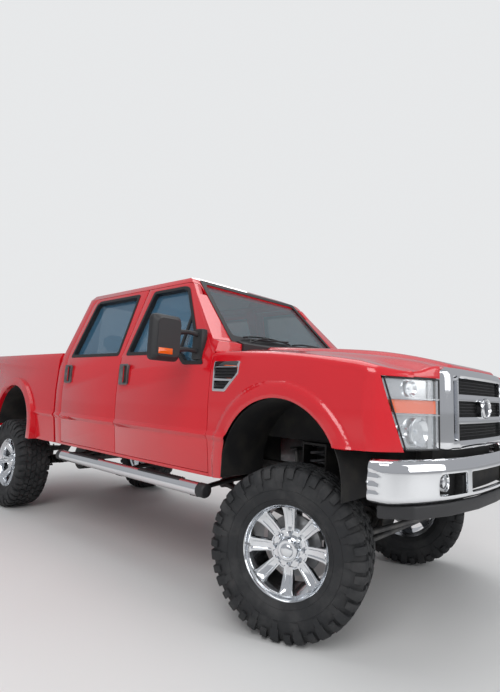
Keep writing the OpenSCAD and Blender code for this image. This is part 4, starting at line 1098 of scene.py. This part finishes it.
class PICKUP_OT_bumpers(bpy.types.Operator):
    """Makes the bright bumpers and the black valance"""
    bl_idname = "pickup.bumpers"
    bl_label = "Bumpers"

    def execute(self, context):
        xs, ys, reach = path_tables(BUMPER_PLAN)
        reach -= 0.002

        def face(s, z, inset=0.0):
            where = abs(s)
            x, y = curve_through(xs, where), curve_through(ys, where)
            dx = curve_through(xs, where + 0.01) - curve_through(xs, where - 0.01)
            dy = curve_through(ys, where + 0.01) - curve_through(ys, where - 0.01)
            normal = Vector((dy, -dx, 0)).normalized()
            back = 0.030 * smoothstep(1.030, 1.060, z) ** 1.5
            back += 0.026 * (1 - smoothstep(0.836, 0.872, z)) ** 1.6
            back += 0.006 * smoothstep(1.0, 1.03, z)
            for level in (0.905, 0.948, 0.991):
                groove = smoothstep(-0.010, -0.004, z - level) * (
                    1 - smoothstep(0.004, 0.010, z - level))
                back += 0.007 * groove * smoothstep(1.075, 1.085, where) * (
                    1 - smoothstep(1.165, 1.175, where))
            x -= normal.x * (back + inset)
            y -= normal.y * (back + inset)
            return Vector((AXLE_X + x, y if s >= 0 else -y, z))

        outline = eased([(-reach, 0.842, 0.03), (reach, 0.842, 0.03), (reach - 0.008, 1.058),
                         (-reach + 0.008, 1.058)], 0.012, 4)
        holes = [slab(-0.408, 0.408, 0.872, 0.984, 0.014, 4)]
        for side in (-1, 1):
            ends = span(side, 0.455, 0.715)
            left, right = (0.05, 0.02) if side < 0 else (0.02, 0.05)
            holes.append(eased([(ends[0], 0.874, 0.02), (ends[1], 0.874, right),
                                (ends[1], 0.986, right), (ends[0], 0.986, left)], 0.03, 6))
        levels = tuple(0.842 + 0.009 * k for k in range(25))
        bar = sheet_panel("front_bumper_bar", outline, holes, face, "chrome",
                          step=0.018, thickness=0.022, rows=levels, outward=(1, 0, 0))
        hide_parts("front_bumper")
        rows = rows_of(6, 60, lambda up, along: face(-1.0 + 2.0 * along, 0.86 + 0.14 * up, 0.075))
        grid_piece("bumper_backing", rows, "liner", thickness=0.006)
        lamps = []
        for side in (-1, 1):
            centre = face(side * 0.60, 0.932, 0.055)
            place = lambda v: Vector((centre.x + v[1], centre.y + v[0], centre.z + v[2]))
            lamps.append(lathe_part([(0.0, 0.006), (0.030, 0.004), (0.042, -0.004),
                                     (0.046, 0.006), (0.050, 0.008), (0.052, -0.012)],
                                    place, 40))
        merged("fog_lamps", lamps, "reflector")
        rounded("valance", "bumper_valance", "trim", width=0.012)
        rounded("rear_bumper_bar", "rear_bumper", "chrome", width=0.008)
        return {"FINISHED"}


VENT = ((-0.608, 1.572), (-0.355, 1.572), (-0.360, 1.487), (-0.475, 1.366), (-0.600, 1.366))


class PICKUP_OT_vents(bpy.types.Operator):
    """Makes the fender vents, with their name plates left bare"""
    bl_idname = "pickup.vents"
    bl_label = "Fender Vents"

    def execute(self, context):
        for name, side in SIDES:
            outline = eased(from_axle(VENT), 0.012, 4)
            top = eased(from_axle(((-0.592, 1.530), (-0.376, 1.530), (-0.379, 1.494),
                                   (-0.415, 1.456), (-0.590, 1.456))), 0.006, 3)
            foot = eased(from_axle(((-0.589, 1.438), (-0.433, 1.438), (-0.487, 1.382),
                                    (-0.586, 1.382))), 0.006, 3)

            def face(x, z, side=side):
                return Vector((x, side * (side_y(z) + 0.006), z))

            sheet_panel(name + "_vent_frame", outline, [top, foot], face, "chrome",
                        step=0.02, thickness=0.022, outward=(0, side, 0))
            def slat(up, along, side=side):
                z = 1.372 + 0.172 * up
                wave = 0.006 * math.sin(up * 39 * math.pi / 2.5)
                reach = min(-0.366, -0.366 - (1.492 - z) * 0.95) - 0.008 + 0.596
                return Vector((AXLE_X - 0.596 + reach * along,
                               side * (side_y(z) - 0.014 + wave), z))

            grid_piece(name + "_vent_slats", rows_of(39, 12, slat), "trim", thickness=0.003)
        return {"FINISHED"}


class PICKUP_OT_springs(bpy.types.Operator):
    """Winds the front coil springs"""
    bl_idname = "pickup.springs"
    bl_label = "Coil Springs"

    def execute(self, context):
        foot, top = low("coil_springs"), high("coil_springs")
        radius = (top[0] - foot[0]) / 2 - 0.010
        x = (top[0] + foot[0]) / 2
        parts = []
        for side in (-1, 1):
            y = side * (top[1] - radius - 0.010)
            turns, steps = 8.5, 170
            points = []
            for i in range(steps + 1):
                t = i / steps
                climb = smoothstep(0, 1, t) * 0.2 + t * 0.8
                angle = 2 * math.pi * turns * t
                points.append((x + radius * math.cos(angle), y + radius * math.sin(angle),
                               foot[2] + 0.010 + (top[2] - foot[2] - 0.020) * climb))
            parts.append(tube_part(points, 0.0098, 10))
        springs = merged("front_coils", parts, "coil")
        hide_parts("coil_springs")
        return {"FINISHED"}


# ---------------------------------------------------------------- painted front


FENDER_REAR = -0.6365
FENDER_TOP = ((FENDER_REAR, 1.652), (0.0, 1.627), (0.5, 1.572), (0.66, 1.532), (0.775, 1.506))
HOOD_REAR = -0.599
HOOD_SPINE = ((HOOD_REAR, 1.695), (-0.2, 1.676), (0.2, 1.652), (0.5, 1.622), (0.70, 1.590),
              (0.832, 1.556))
HOOD_HALF = 0.790
HOOD_NOSE_HALF = 0.59
HOOD_LIP = 0.022
ARCH_BACK = 0.02
LAMP_TOP = 1.486


def fender_skin(side):
    """Fender surface: up the side over the flare, then rolled over to the hood's edge."""
    arch_x = AXLE_X - ARCH_BACK
    flat = skin(1, 0.0, arch_x)

    def place(x, w):
        local = x - AXLE_X
        start = curve_through(FENDER_TOP, local) - 0.050
        spot = flat(x, min(w, start))
        if w > start:
            room = max(spot.y - HOOD_HALF - 0.007, 0.0)
            roll = min(0.050, 0.5 * room + 0.002)
            turn = (w - start) / 0.055
            if turn < math.pi / 2:
                spot.y -= roll * (1 - math.cos(turn))
                spot.z += 0.050 * math.sin(turn)
            else:
                run = min((w - start - 0.0864) / 0.13, 1.0)
                spot.y -= roll + (room - roll) * run
                spot.z += 0.050 + 0.006 * run
        return Vector((x, side * spot.y, spot.z))
    return place


class PICKUP_OT_fenders(bpy.types.Operator):
    """Makes the front fenders and the black splash walls behind them"""
    bl_idname = "pickup.fenders"
    bl_label = "Front Fenders"

    def execute(self, context):
        body = context.scene.pickup_body
        arch_x = -ARCH_BACK
        for name, side in SIDES:
            top = [(x, curve_through(FENDER_TOP, x) + 0.1664) for x in
                   (FENDER_REAR, -0.4, -0.2, 0.0, 0.2, 0.35, 0.5, 0.58, 0.66, 0.72, 0.772)]
            arch = [(arch_x + x, z) for x, z in arc_points((0.0, body.arch_z), body.arch_r,
                                                           27.6, 180.0, 40)]
            outline = top + [(0.772, LAMP_TOP), (0.657, LAMP_TOP), (0.741, 1.092)]
            outline += arch + [(arch_x - body.arch_r, SILL_Z + 0.01), (FENDER_REAR, SILL_Z)]
            vent = from_axle(((-0.598, 1.560), (-0.366, 1.560), (-0.370, 1.492), (-0.478, 1.376),
                              (-0.592, 1.376)))
            panel = sheet_panel(name + "_fender", from_axle(outline)[::-1], [vent],
                                fender_skin(side),
                                ("paint", "liner"), step=0.014, thickness=0.012,
                                rows=(1.03, 1.064, 1.072, 1.10), outward=(0, side, 0))
            grid_piece(name + "_splash_wall", rows_of(11, 10, lambda up, out: Vector((
                AXLE_X - 0.604 + 0.004 * math.sin(up * 11 * 1.9), side * (0.215 + 0.725 * out),
                0.82 + 0.76 * up))), "liner", thickness=0.004)
            grid_piece(name + "_inner_fender", rows_of(9, 20, lambda up, along: Vector((
                AXLE_X - 0.60 + 1.08 * along, side * (0.557 + 0.003 * math.sin(along * 20 * 1.3)),
                1.06 + 0.50 * up))), "liner", thickness=0.004)
        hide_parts("front_fenders")
        return {"FINISHED"}


def hood_height(x, y):
    """Height of the hood: low edge, shoulder, and a raised centre that fades to the front."""
    spine = curve_through(HOOD_SPINE, x)
    edge = curve_through(FENDER_TOP, min(x, 0.775)) + 0.006
    where = abs(y)
    rise = 1 - smoothstep(0.56, HOOD_HALF, where) ** 1.15
    z = edge + (spine - edge) * rise
    dome = 1 - smoothstep(0.395, 0.470, where)
    return z + dome * (0.036 - 0.012 * smoothstep(0.3, 0.8, x))


class PICKUP_OT_hood(bpy.types.Operator):
    """Makes the hood and its pad"""
    bl_idname = "pickup.hood"
    bl_label = "Hood"

    def execute(self, context):
        across = [HOOD_HALF * k / 30 for k in range(-30, 31)]
        across = sorted([y for y in across if abs(abs(y) - HOOD_NOSE_HALF) > 0.008]
                        + [-0.594, -0.587, 0.587, 0.594])
        rows = []
        for i in range(61):
            t = i / 60
            row = []
            for y in across:
                end = 0.834 if abs(y) < HOOD_NOSE_HALF else curve_through(
                    ((0.59, 0.836), (0.66, 0.816), (0.79, 0.772)), abs(y))
                x = HOOD_REAR + (end - HOOD_LIP - HOOD_REAR) * t
                row.append(Vector((AXLE_X + x, y, hood_height(x, y))))
            rows.append(row)
        for k in range(1, 9):
            row = []
            for y, last in zip(across, rows[60]):
                foot = 1.549 if abs(y) < HOOD_NOSE_HALF else LAMP_TOP
                drop = last.z - foot
                turn = min(k, 5) / 5 * math.pi / 2
                roll = min(HOOD_LIP, drop)
                spot = Vector((last.x + HOOD_LIP * math.sin(turn), y,
                               last.z - roll * (1 - math.cos(turn))))
                if k > 5:
                    spot.z -= (drop - roll) * (k - 5) / 3
                row.append(spot)
            rows.append(row)
        panel = grid_piece("hood_panel", rows, "paint", "hood")
        mesh = panel.data
        if sum(face.normal.z * face.area for face in mesh.polygons) < 0:
            mesh.flip_normals()
        thicken(panel, 0.012)
        roll_edges(panel, 0.003, 2, 60)
        dress(panel, "paint", "hood", 40.0)
        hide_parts("hood")

        def under(along, out):
            x, y = -0.52 + 1.22 * along, -0.60 + 1.2 * out
            quilt = 0.004 * math.sin(along * 30 * 1.2) * math.sin(out * 30 * 0.9)
            return Vector((AXLE_X + x, y, hood_height(x, y) - 0.030 - quilt))

        grid_piece("hood_pad", rows_of(30, 30, under), "liner", "hood", thickness=0.012)
        return {"FINISHED"}


WINDOWS = {
    "front": ((-0.752, 1.565), (-1.215, 2.210), (-1.275, 2.227), (-1.705, 2.227),
              (-1.760, 1.650), (-1.060, 1.650), (-0.960, 1.565)),
    "rear": ((-1.900, 1.650), (-1.950, 2.227), (-2.665, 2.227), (-2.705, 2.197),
             (-2.755, 1.650)),
}
HANDLES = {"front": -1.725, "rear": -2.725}


def grown(outline, reach):
    """An outline pushed outward by a distance."""
    count = len(outline)
    area = sum(outline[i - 1][0] * outline[i][1] - outline[i][0] * outline[i - 1][1]
               for i in range(count))
    turn = 1 if area > 0 else -1
    result = []
    for i in range(count):
        before, here, after = (Vector(outline[i - 1]), Vector(outline[i]),
                               Vector(outline[(i + 1) % count]))
        one, two = (here - before).normalized(), (after - here).normalized()
        n1, n2 = Vector((one.y, -one.x)) * turn, Vector((two.y, -two.x)) * turn
        middle = (n1 + n2).normalized()
        spot = here + middle * (reach / max(0.5, middle.dot(n1)))
        result.append((spot.x, spot.y))
    return result


class PICKUP_OT_doors(bpy.types.Operator):
    """Makes the doors: panels, window seals and handles"""
    bl_idname = "pickup.doors"
    bl_label = "Doors"

    def execute(self, context):
        for name, side in SIDES:
            for end in ("front", "rear"):
                node = name + "_" + end + "_door"
                rounded(node + "_panel", node, "paint", body=node, width=0.004)
                self.seal(side, end, node)
                self.handle(side, end, node)
        return {"FINISHED"}

    def seal(self, side, end, node):
        window = from_axle(WINDOWS[end])

        def face(x, z):
            return Vector((x, side * (side_y(z) + 0.0045), z))

        sheet_panel(node + "_seal", eased(grown(window, 0.012), 0.03, 5),
                    [eased(grown(window, -0.016), 0.03, 5)], face, "seal", node, step=0.05,
                    thickness=0.046, outward=(0, side, 0))
        if end == "front":
            bar = from_axle(((-1.025, 1.640), (-1.025, 1.935), (-1.055, 1.975), (-1.055, 1.640)))
            sheet_panel(node + "_quarter_bar", bar, [], face, "seal", node,
                        step=0.05, thickness=0.014, outward=(0, side, 0))

    def handle(self, side, end, node):
        x, z = AXLE_X + HANDLES[end], 1.475
        plate_y = HALF_W + 0.0030

        def face(u, w):
            crown = 0.003 * (1 - (w / 0.09) ** 2)
            return Vector((u, side * (plate_y + crown), w + z))

        ring = slab(x - 0.0640, x + 0.0640, -0.0880, 0.0880, 0.014, 5)
        hole = slab(x - 0.006, x + 0.051, -0.073, 0.073, 0.012, 5)
        sheet_panel(node + "_handle_bezel", ring, [hole], face, "bezel", node, step=0.015,
                    thickness=0.020, outward=(0, side, 0))

        def cup(up, along):
            sunk = 1 - min(1.0, max(0.0, math.sin(math.pi * up)) ** 0.5 * 1.6)
            return Vector((x - 0.0075 + 0.060 * along, side * (HALF_W - 0.0065 + 0.006 * sunk),
                           z - 0.0745 + 0.149 * up))

        def grip(up, along):
            bulge = max(0.0, math.sin(math.pi * up)) ** 0.4 * max(
                0.0, math.sin(math.pi * along)) ** 0.5
            return Vector((x - 0.050 + 0.040 * along, side * (plate_y + 0.002 + 0.010 * bulge),
                           z - 0.070 + 0.140 * up))

        # The cup takes the near-black liner finish, darker than the bezel round it: painted shade
        # in the handle's recess.
        grid_piece(node + "_handle_cup", rows_of(16, 12, cup), "liner", node)
        grid_piece(node + "_handle_grip", rows_of(16, 8, grip), "bezel", node, thickness=0.004)


# ---------------------------------------------------------------- mirrors, steps and cabin


class PICKUP_OT_mirrors(bpy.types.Operator):
    """Makes the two-arm tow mirrors with their glass and amber markers"""
    bl_idname = "pickup.mirrors"
    bl_label = "Mirrors"

    def execute(self, context):
        for name, side in SIDES:
            door = name + "_front_door"
            parts = [self.head(side)]
            for z in (1.640, 1.765):
                points = [(AXLE_X - 0.810, side * (0.958 + 0.20 * t),
                           z + 0.012 * math.sin(math.pi * t)) for t in
                          [k / 10 for k in range(11)]]
                parts.append(tube_part(points, lambda t: 0.021 - 0.005 * math.sin(math.pi * t),
                                       16))
            parts.append(box_part((AXLE_X - 0.865, AXLE_X - 0.758),
                                  span(side, 0.925, 0.985), (1.585, 1.815),
                                  cut=0.018))
            head = merged(name + "_mirror_head", parts, "trim", door, 40.0)
            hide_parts(name + "_mirror")
            for label, z0, z1 in (("main", 1.668, 1.846), ("wide", 1.578, 1.656)):
                glass = rows_of(8, 10, lambda up, out, z0=z0, z1=z1: Vector((
                    AXLE_X - 0.8515 + 0.004 * math.sin(math.pi * out),
                    side * (1.162 + 0.196 * out), z0 + (z1 - z0) * up)))
                grid_piece(name + "_mirror_glass_" + label, glass, "mirror", door,
                           thickness=0.003)
            marker = rows_of(8, 10, lambda up, out: Vector((
                AXLE_X - 0.7690 + 0.004 * math.sin(math.pi * up) * math.sin(math.pi * out),
                side * (1.225 + 0.115 * out), 1.600 + 0.040 * up)))
            grid_piece(name + "_mirror_marker", marker, "amber", door, thickness=0.004)
        return {"FINISHED"}

    def head(self, side):
        """A shell that is flat at the glass and crowned at the front, with soft corners."""
        rows = []
        for i in range(17):
            t = i / 16
            x = AXLE_X - 0.850 + 0.080 * t
            shrink = 0.030 * smoothstep(0.35, 1.0, t) ** 1.4 + 0.004 * (1 - smoothstep(0, 0.08, t))
            y0, y1 = 1.140 + shrink * 0.8, 1.380 - shrink
            z0, z1 = 1.555 + shrink, 1.875 - shrink
            outline = slab(y0, y1, z0, z1, 0.040, 7)
            rows.append([Vector((x, side * y, z)) for y, z in outline])
        shape = (len(rows), len(rows[0]))
        caps = [cap[::-1] for cap in end_caps(*shape)]
        return [p for row in rows for p in row], strip_faces(*shape) + caps, 0


class PICKUP_OT_steps(bpy.types.Operator):
    """Makes the bright step bars with their tread pads, end caps and brackets"""
    bl_idname = "pickup.steps"
    bl_label = "Step Bars"

    def execute(self, context):
        foot, top = low("step_bars"), high("step_bars")
        y, z, radius = 0.955, 0.690, 0.046
        start, end = foot[0] + 0.004, top[0] - 0.004
        for name, side in SIDES:
            points = [(start + 0.03 + (end - start - 0.06) * k / 40, side * y, z)
                      for k in range(41)]
            tube = tube_part(points, radius, 40)
            merged(name + "_step_tube", [tube], "chrome")
            caps = []
            for x, way in ((start + 0.03, -1), (end - 0.03, 1)):
                place = lambda v, x=x, way=way: Vector((x + way * v[1], side * y + v[0],
                                                        z + v[2]))
                caps.append(lathe_part([(0.0, 0.030), (0.034, 0.029), (0.043, 0.024),
                                        (0.048, 0.014), (0.048, -0.045), (0.0455, -0.047)],
                                       place, 40))
            merged(name + "_step_caps", caps, "trim")
            pads = []
            for middle in (end - 0.54, start + 0.50):
                pads.append(box_part((middle - 0.255, middle + 0.255),
                                     span(side, y - 0.038, y + 0.030),
                                     (z + 0.034, z + 0.0465), cut=0.006))
                for k in range(17):
                    x = middle - 0.232 + 0.464 * k / 16
                    pads.append(box_part((x - 0.006, x + 0.006),
                                         span(side, y - 0.032, y + 0.024),
                                         (z + 0.045, z + 0.0505), cut=0.002))
            merged(name + "_step_pads", pads, "trim")
            arms = []
            for x in (end - 0.126, (start + end) / 2, start + 0.126):
                arms.append(tube_part([(x, side * 0.448, z + 0.026), (x, side * 0.60, z + 0.024),
                                       (x, side * 0.80, z + 0.006), (x, side * 0.925, z - 0.012)],
                                      lambda t: 0.020 - 0.004 * t, 12))
                arms.append(box_part((x - 0.045, x + 0.045),
                                     span(side, 0.905, 0.965),
                                     (z - 0.050, z - 0.030), cut=0.004))
            merged(name + "_step_brackets", arms, "black_steel")
        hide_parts("step_bars")
        return {"FINISHED"}


# Height of the cabin floor over the sill.
CABIN_FLOOR = 0.1154


def cushion_part(x, y, z, tilt=0.0, crown=0.022, seams=()):
    """A crowned pad: its faces swell, its sides pull in between the corners, seams sink."""
    steps = 18
    centre = Vector(((x[0] + x[1]) / 2, (y[0] + y[1]) / 2, (z[0] + z[1]) / 2))
    half = Vector(((x[1] - x[0]) / 2, (y[1] - y[0]) / 2, (z[1] - z[0]) / 2))
    work = bmesh.new()
    bmesh.ops.create_cube(work, size=2.0)
    bmesh.ops.subdivide_edges(work, edges=list(work.edges), cuts=steps, use_grid_fill=True)
    thin = min(range(3), key=lambda k: half[k])
    for vert in work.verts:
        p = vert.co.copy()
        limit = [min(0.9, 0.055 / max(half[k], 0.01)) for k in range(3)]
        shape = Vector(p)
        for k in range(3):
            others = [j for j in range(3) if j != k]
            edge = max(abs(p[j]) for j in others)
            drop = smoothstep(0.62, 1.0, edge) ** 2 * limit[k] * 0.55
            shape[k] = p[k] * (1 - drop)
        swell = (1 - p[(thin + 1) % 3] ** 2) * (1 - p[(thin + 2) % 3] ** 2)
        spot = Vector((shape.x * half.x, shape.y * half.y, shape.z * half.z))
        spot[thin] += math.copysign(crown, p[thin]) * swell * (abs(p[thin]) > 0.5) - (
            math.copysign(crown, p[thin]) * 0.9 * (abs(p[thin]) > 0.5))
        for axis, place in seams:
            gap = abs(p[axis] - place) * half[axis]
            sink = 0.010 * math.exp(-(gap / 0.010) ** 2)
            if abs(p[thin]) > 0.6:
                spot[thin] -= math.copysign(sink, p[thin])
        turned = Matrix.Rotation(tilt, 3, "Y") @ spot
        vert.co = centre + turned
    return taken(work)


class PICKUP_OT_seats(bpy.types.Operator):
    """Makes the seats: crowned cushions, bolsters, backs and headrests"""
    bl_idname = "pickup.seats"
    bl_label = "Seats"

    def execute(self, context):
        floor = SILL_Z + CABIN_FLOOR
        rows = (("driver", -1.130, 0.165, 0.705), ("passenger", -1.130, -0.705, -0.165),
                ("bench", -2.130, -0.715, 0.715))
        for name, x, y0, y1 in rows:
            x += AXLE_X
            bench = name == "bench"
            channels = [(1, y) for y in ((-0.66, -0.2, 0.2, 0.66) if bench else (-0.52, 0.52))]
            base = cushion_part((x - 0.52, x), (y0, y1), (floor + 0.155, floor + 0.345),
                                seams=channels + [(0, 0.35)])
            self.pad("seat_base_" + name, base, 0.8)
            back = cushion_part((x - 0.665, x - 0.515), (y0 + 0.01, y1 - 0.01),
                                (floor + 0.32, floor + 0.830), tilt=-0.14,
                                seams=channels + [(2, 0.25)])
            self.pad("seat_back_" + name, back, 0.8)
            heads = ((y0 + y1) / 2,) if not bench else (-0.48, 0.48)
            for k, y in enumerate(heads):
                head = cushion_part((x - 0.715, x - 0.640), (y - 0.125, y + 0.125),
                                    (floor + 0.850, floor + 1.020), crown=0.014)
                self.pad("headrest_" + name + "_" + str(k), head, 0.9)
                posts = [tube_part([(x - 0.672, y + d, floor + 0.80),
                                    (x - 0.677, y + d, floor + 0.87)], 0.006, 10)
                         for d in (-0.05, 0.05)]
                merged("headrest_posts_" + name + "_" + str(k), posts, "chrome")
            frame = [box_part((x - 0.50, x - 0.02), (y0 + 0.02, y1 - 0.02),
                              (floor + 0.002, floor + 0.165), cut=0.02)]
            merged("seat_plinth_" + name, frame, "trim")
        console = [box_part((AXLE_X - 1.54, AXLE_X - 1.16), (-0.148, 0.148),
                            (floor + 0.06, floor + 0.398), cut=0.03)]
        merged("centre_console", console, "trim")
        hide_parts("seats")
        return {"FINISHED"}

    def pad(self, name, part, fill):
        """A piece of seat cloth over foam."""
        piece = merged(name, [part], "cloth", smooth=70.0)
        return piece


class PICKUP_OT_screen(bpy.types.Operator):
    """Makes the windscreen's black border, the wipers and the steering wheel"""
    bl_idname = "pickup.screen"
    bl_label = "Windscreen Border"

    def execute(self, context):
        def face(y, t):
            return Vector((AXLE_X - 0.700 - 0.535 * t + 0.0045, y, 1.745 + 0.560 * t + 0.0045))

        outline = eased([(-0.742, -0.008), (0.742, -0.008), (0.646, 1.006), (-0.646, 1.006)],
                        0.02, 4)
        hole = eased([(-0.690, 0.085), (0.690, 0.085), (0.606, 0.945), (-0.606, 0.945)], 0.05, 6)
        sheet_panel("screen_border", outline, [hole], face, "seal",
                    step=0.05, thickness=0.003, outward=(1, 0, 1))
        wipers = []
        for y0, y1 in ((-0.60, -0.02), (0.02, 0.60)):
            blade = []
            for k in range(17):
                bow = 0.045 * math.sin(math.pi * k / 16) ** 0.8
                blade.append(face(y0 + (y1 - y0) * k / 16, 0.055 + bow)
                             + Vector((0.016, 0, 0.012)))
            wipers.append(tube_part(blade, 0.0065, 8))
            arm = [face(y0 + 0.30, 0.085) + Vector((0.026, 0, 0.018)),
                   face(y0 + 0.14, 0.030) + Vector((0.026, 0, 0.018)),
                   face(y0 + 0.02, -0.020) + Vector((0.020, 0, 0.006))]
            wipers.append(tube_part(arm, 0.007, 8))
        merged("wipers", wipers, "seal")
        hub = Vector((AXLE_X - 1.02, 0.43, 1.50))
        turn = Matrix.Rotation(math.radians(-62), 3, "Y")
        ring = [hub + turn @ Vector((0.19 * math.cos(a), 0.19 * math.sin(a), 0.0)) for a in
                [2 * math.pi * k / 48 for k in range(48)]]
        parts = [tube_part(ring, 0.014, 12, closed=True)]
        for a in (0.0, 2.2, 4.1):
            parts.append(tube_part([hub, hub + turn @ Vector((0.19 * math.cos(a),
                                                              0.19 * math.sin(a), 0.0))],
                                   0.012, 8))
        parts.append(tube_part([hub + turn @ Vector((0, 0, 0.02)),
                                hub + turn @ Vector((0, 0, -0.03))], 0.055, 24))
        merged("steering_wheel", parts, "trim")
        return {"FINISHED"}


# ---------------------------------------------------------------- underbody, glass and cab


CARRIED = {
    "black_steel": "frame front_axle rear_axle radius_arms leaf_springs fuel_tank engine radiator",
    "bare_steel": "right_knuckle left_knuckle tie_rods pitman_arm shocks exhaust driveshafts",
    "aluminium": "gearbox",
    "trim": "cowl dashboard",
    "liner": "wheel_liners",
    "screen": "cab_glass",
    "glass": "right_front_glass left_front_glass right_rear_glass left_rear_glass",
}


class PICKUP_OT_underbody(bpy.types.Operator):
    """Finishes the frame, axles, springs, steering, engine and glass"""
    bl_idname = "pickup.underbody"
    bl_label = "Underbody and Glass"

    def execute(self, context):
        for finish, nodes in CARRIED.items():
            for node in nodes.split():
                mesh = FRAME["nodes"][node]
                if mesh.hide_render:
                    continue
                for slot in mesh.material_slots:
                    slot.material = finish_of(finish)
                if not mesh.material_slots:
                    raise RuntimeError(node + " has no material slot")
        return {"FINISHED"}


# ---------------------------------------------------------------- stage


class PICKUP_OT_stage(bpy.types.Operator):
    """Makes the floor, the studio light and the camera"""
    bl_idname = "pickup.stage"
    bl_label = "Stage"

    def execute(self, context):
        reach = 60.0
        verts, faces = [(0.0, 0.0, 0.0)], []
        for i in range(96):
            turn = 2 * math.pi * i / 96
            verts.append((reach * math.cos(turn), reach * math.sin(turn), 0.0))
            faces.append((0, i + 1, (i + 1) % 96 + 1))
        mesh = bpy.data.meshes.new("floor")
        mesh.from_pydata(verts, [], faces)
        floor = bpy.data.objects.new("floor", mesh)
        context.scene.collection.objects.link(floor)
        mesh.materials.append(finish_of("floor"))
        self.lamp(context, "key", (5.5, -7.5, 7.5), 6.0, 430.0)
        self.lamp(context, "fill", (9.5, 1.5, 4.0), 5.0, 170.0)
        self.lamp(context, "top", (0.0, 0.5, 9.0), 8.0, 300.0)
        self.lamp(context, "back", (-7.0, 5.0, 6.0), 5.0, 170.0)
        context.scene.world = self.sky()
        self.camera(context)
        context.scene.view_settings.view_transform = "Standard"
        return {"FINISHED"}

    def sky(self):
        """Soft light from all round, and a pale backdrop where it is seen directly."""
        world = bpy.data.worlds.new("studio")
        world.use_nodes = True
        tree = world.node_tree
        light = tree.nodes["Background"]
        light.inputs["Color"].default_value = (0.93, 0.95, 1.0, 1)
        light.inputs["Strength"].default_value = 0.42
        seen = tree.nodes.new("ShaderNodeBackground")
        seen.inputs["Color"].default_value = (0.80, 0.81, 0.82, 1)
        seen.inputs["Strength"].default_value = 1.0
        path = tree.nodes.new("ShaderNodeLightPath")
        mixer = tree.nodes.new("ShaderNodeMixShader")
        tree.links.new(path.outputs["Is Camera Ray"], mixer.inputs[0])
        tree.links.new(light.outputs[0], mixer.inputs[1])
        tree.links.new(seen.outputs[0], mixer.inputs[2])
        tree.links.new(mixer.outputs[0], tree.nodes["World Output"].inputs["Surface"])
        return world

    def lamp(self, context, name, place, size, power):
        light = bpy.data.lights.new(name, "AREA")
        light.size = size
        light.energy = power
        lamp = bpy.data.objects.new(name, light)
        context.scene.collection.objects.link(lamp)
        lamp.location = place
        lamp.rotation_euler = (Vector((0.3, 0, 1.1)) - Vector(place)).to_track_quat(
            "-Z", "Y").to_euler()

    def camera(self, context):
        lens = bpy.data.cameras.new("camera")
        lens.sensor_fit = "VERTICAL"
        lens.sensor_height = 36.0
        lens.lens = 24.28
        lens.shift_x = -0.031
        lens.shift_y = -0.034
        lens.clip_end = 200.0
        camera = bpy.data.objects.new("camera", lens)
        context.scene.collection.objects.link(camera)
        yaw, pitch, roll = math.radians(41.23), math.radians(-8.73), math.radians(2.49)
        ahead = Vector((-math.sin(yaw) * math.cos(pitch), math.cos(yaw) * math.cos(pitch),
                        -math.sin(pitch)))
        flat = Vector((math.cos(yaw), math.sin(yaw), 0))
        over = flat.cross(ahead)
        side = flat * math.cos(roll) + over * math.sin(roll)
        rise = side.cross(ahead)
        turn = Matrix((side, rise, -ahead)).transposed()
        stand = Matrix.Translation((AXLE_X + 1.8445, -3.1915, 1.3609))
        camera.matrix_world = stand @ turn.to_4x4()
        context.scene.camera = camera


# ---------------------------------------------------------------- panel and run


PIECES = (PICKUP_OT_cab, PICKUP_OT_hood, PICKUP_OT_fenders, PICKUP_OT_doors, PICKUP_OT_bed,
          PICKUP_OT_grille, PICKUP_OT_lamps, PICKUP_OT_vents, PICKUP_OT_springs,
          PICKUP_OT_bumpers, PICKUP_OT_mirrors, PICKUP_OT_steps, PICKUP_OT_wheels,
          PICKUP_OT_tyres, PICKUP_OT_seats, PICKUP_OT_screen, PICKUP_OT_underbody,
          PICKUP_OT_stage)
GROUPS = (("pickup_body", BodySizes), ("pickup_wheels", WheelSizes), ("pickup_paints", Paints))


class PICKUP_PT_panel(bpy.types.Panel):
    """Lists the sizes, the colours and the pieces"""
    bl_idname = "PICKUP_PT_panel"
    bl_label = "Lifted Pickup"
    bl_space_type = "VIEW_3D"
    bl_region_type = "UI"
    bl_category = "Pickup"

    def draw(self, context):
        for name, group in GROUPS:
            box = self.layout.box()
            for prop in group.__annotations__:
                box.prop(getattr(context.scene, name), prop)
        for piece in PIECES:
            self.layout.operator(piece.bl_idname)


def register():
    for kind in [group for name, group in GROUPS] + list(PIECES) + [PICKUP_PT_panel]:
        bpy.utils.register_class(kind)
    for name, group in GROUPS:
        setattr(bpy.types.Scene, name, PointerProperty(type=group))


def unregister():
    for name, group in GROUPS:
        delattr(bpy.types.Scene, name)
    for kind in [PICKUP_PT_panel] + list(PIECES) + [group for name, group in GROUPS]:
        bpy.utils.unregister_class(kind)


def main():
    register()
    for piece in PIECES:
        group, name = piece.bl_idname.split(".")
        getattr(getattr(bpy.ops, group), name)()


if __name__ == "__main__":
    main()
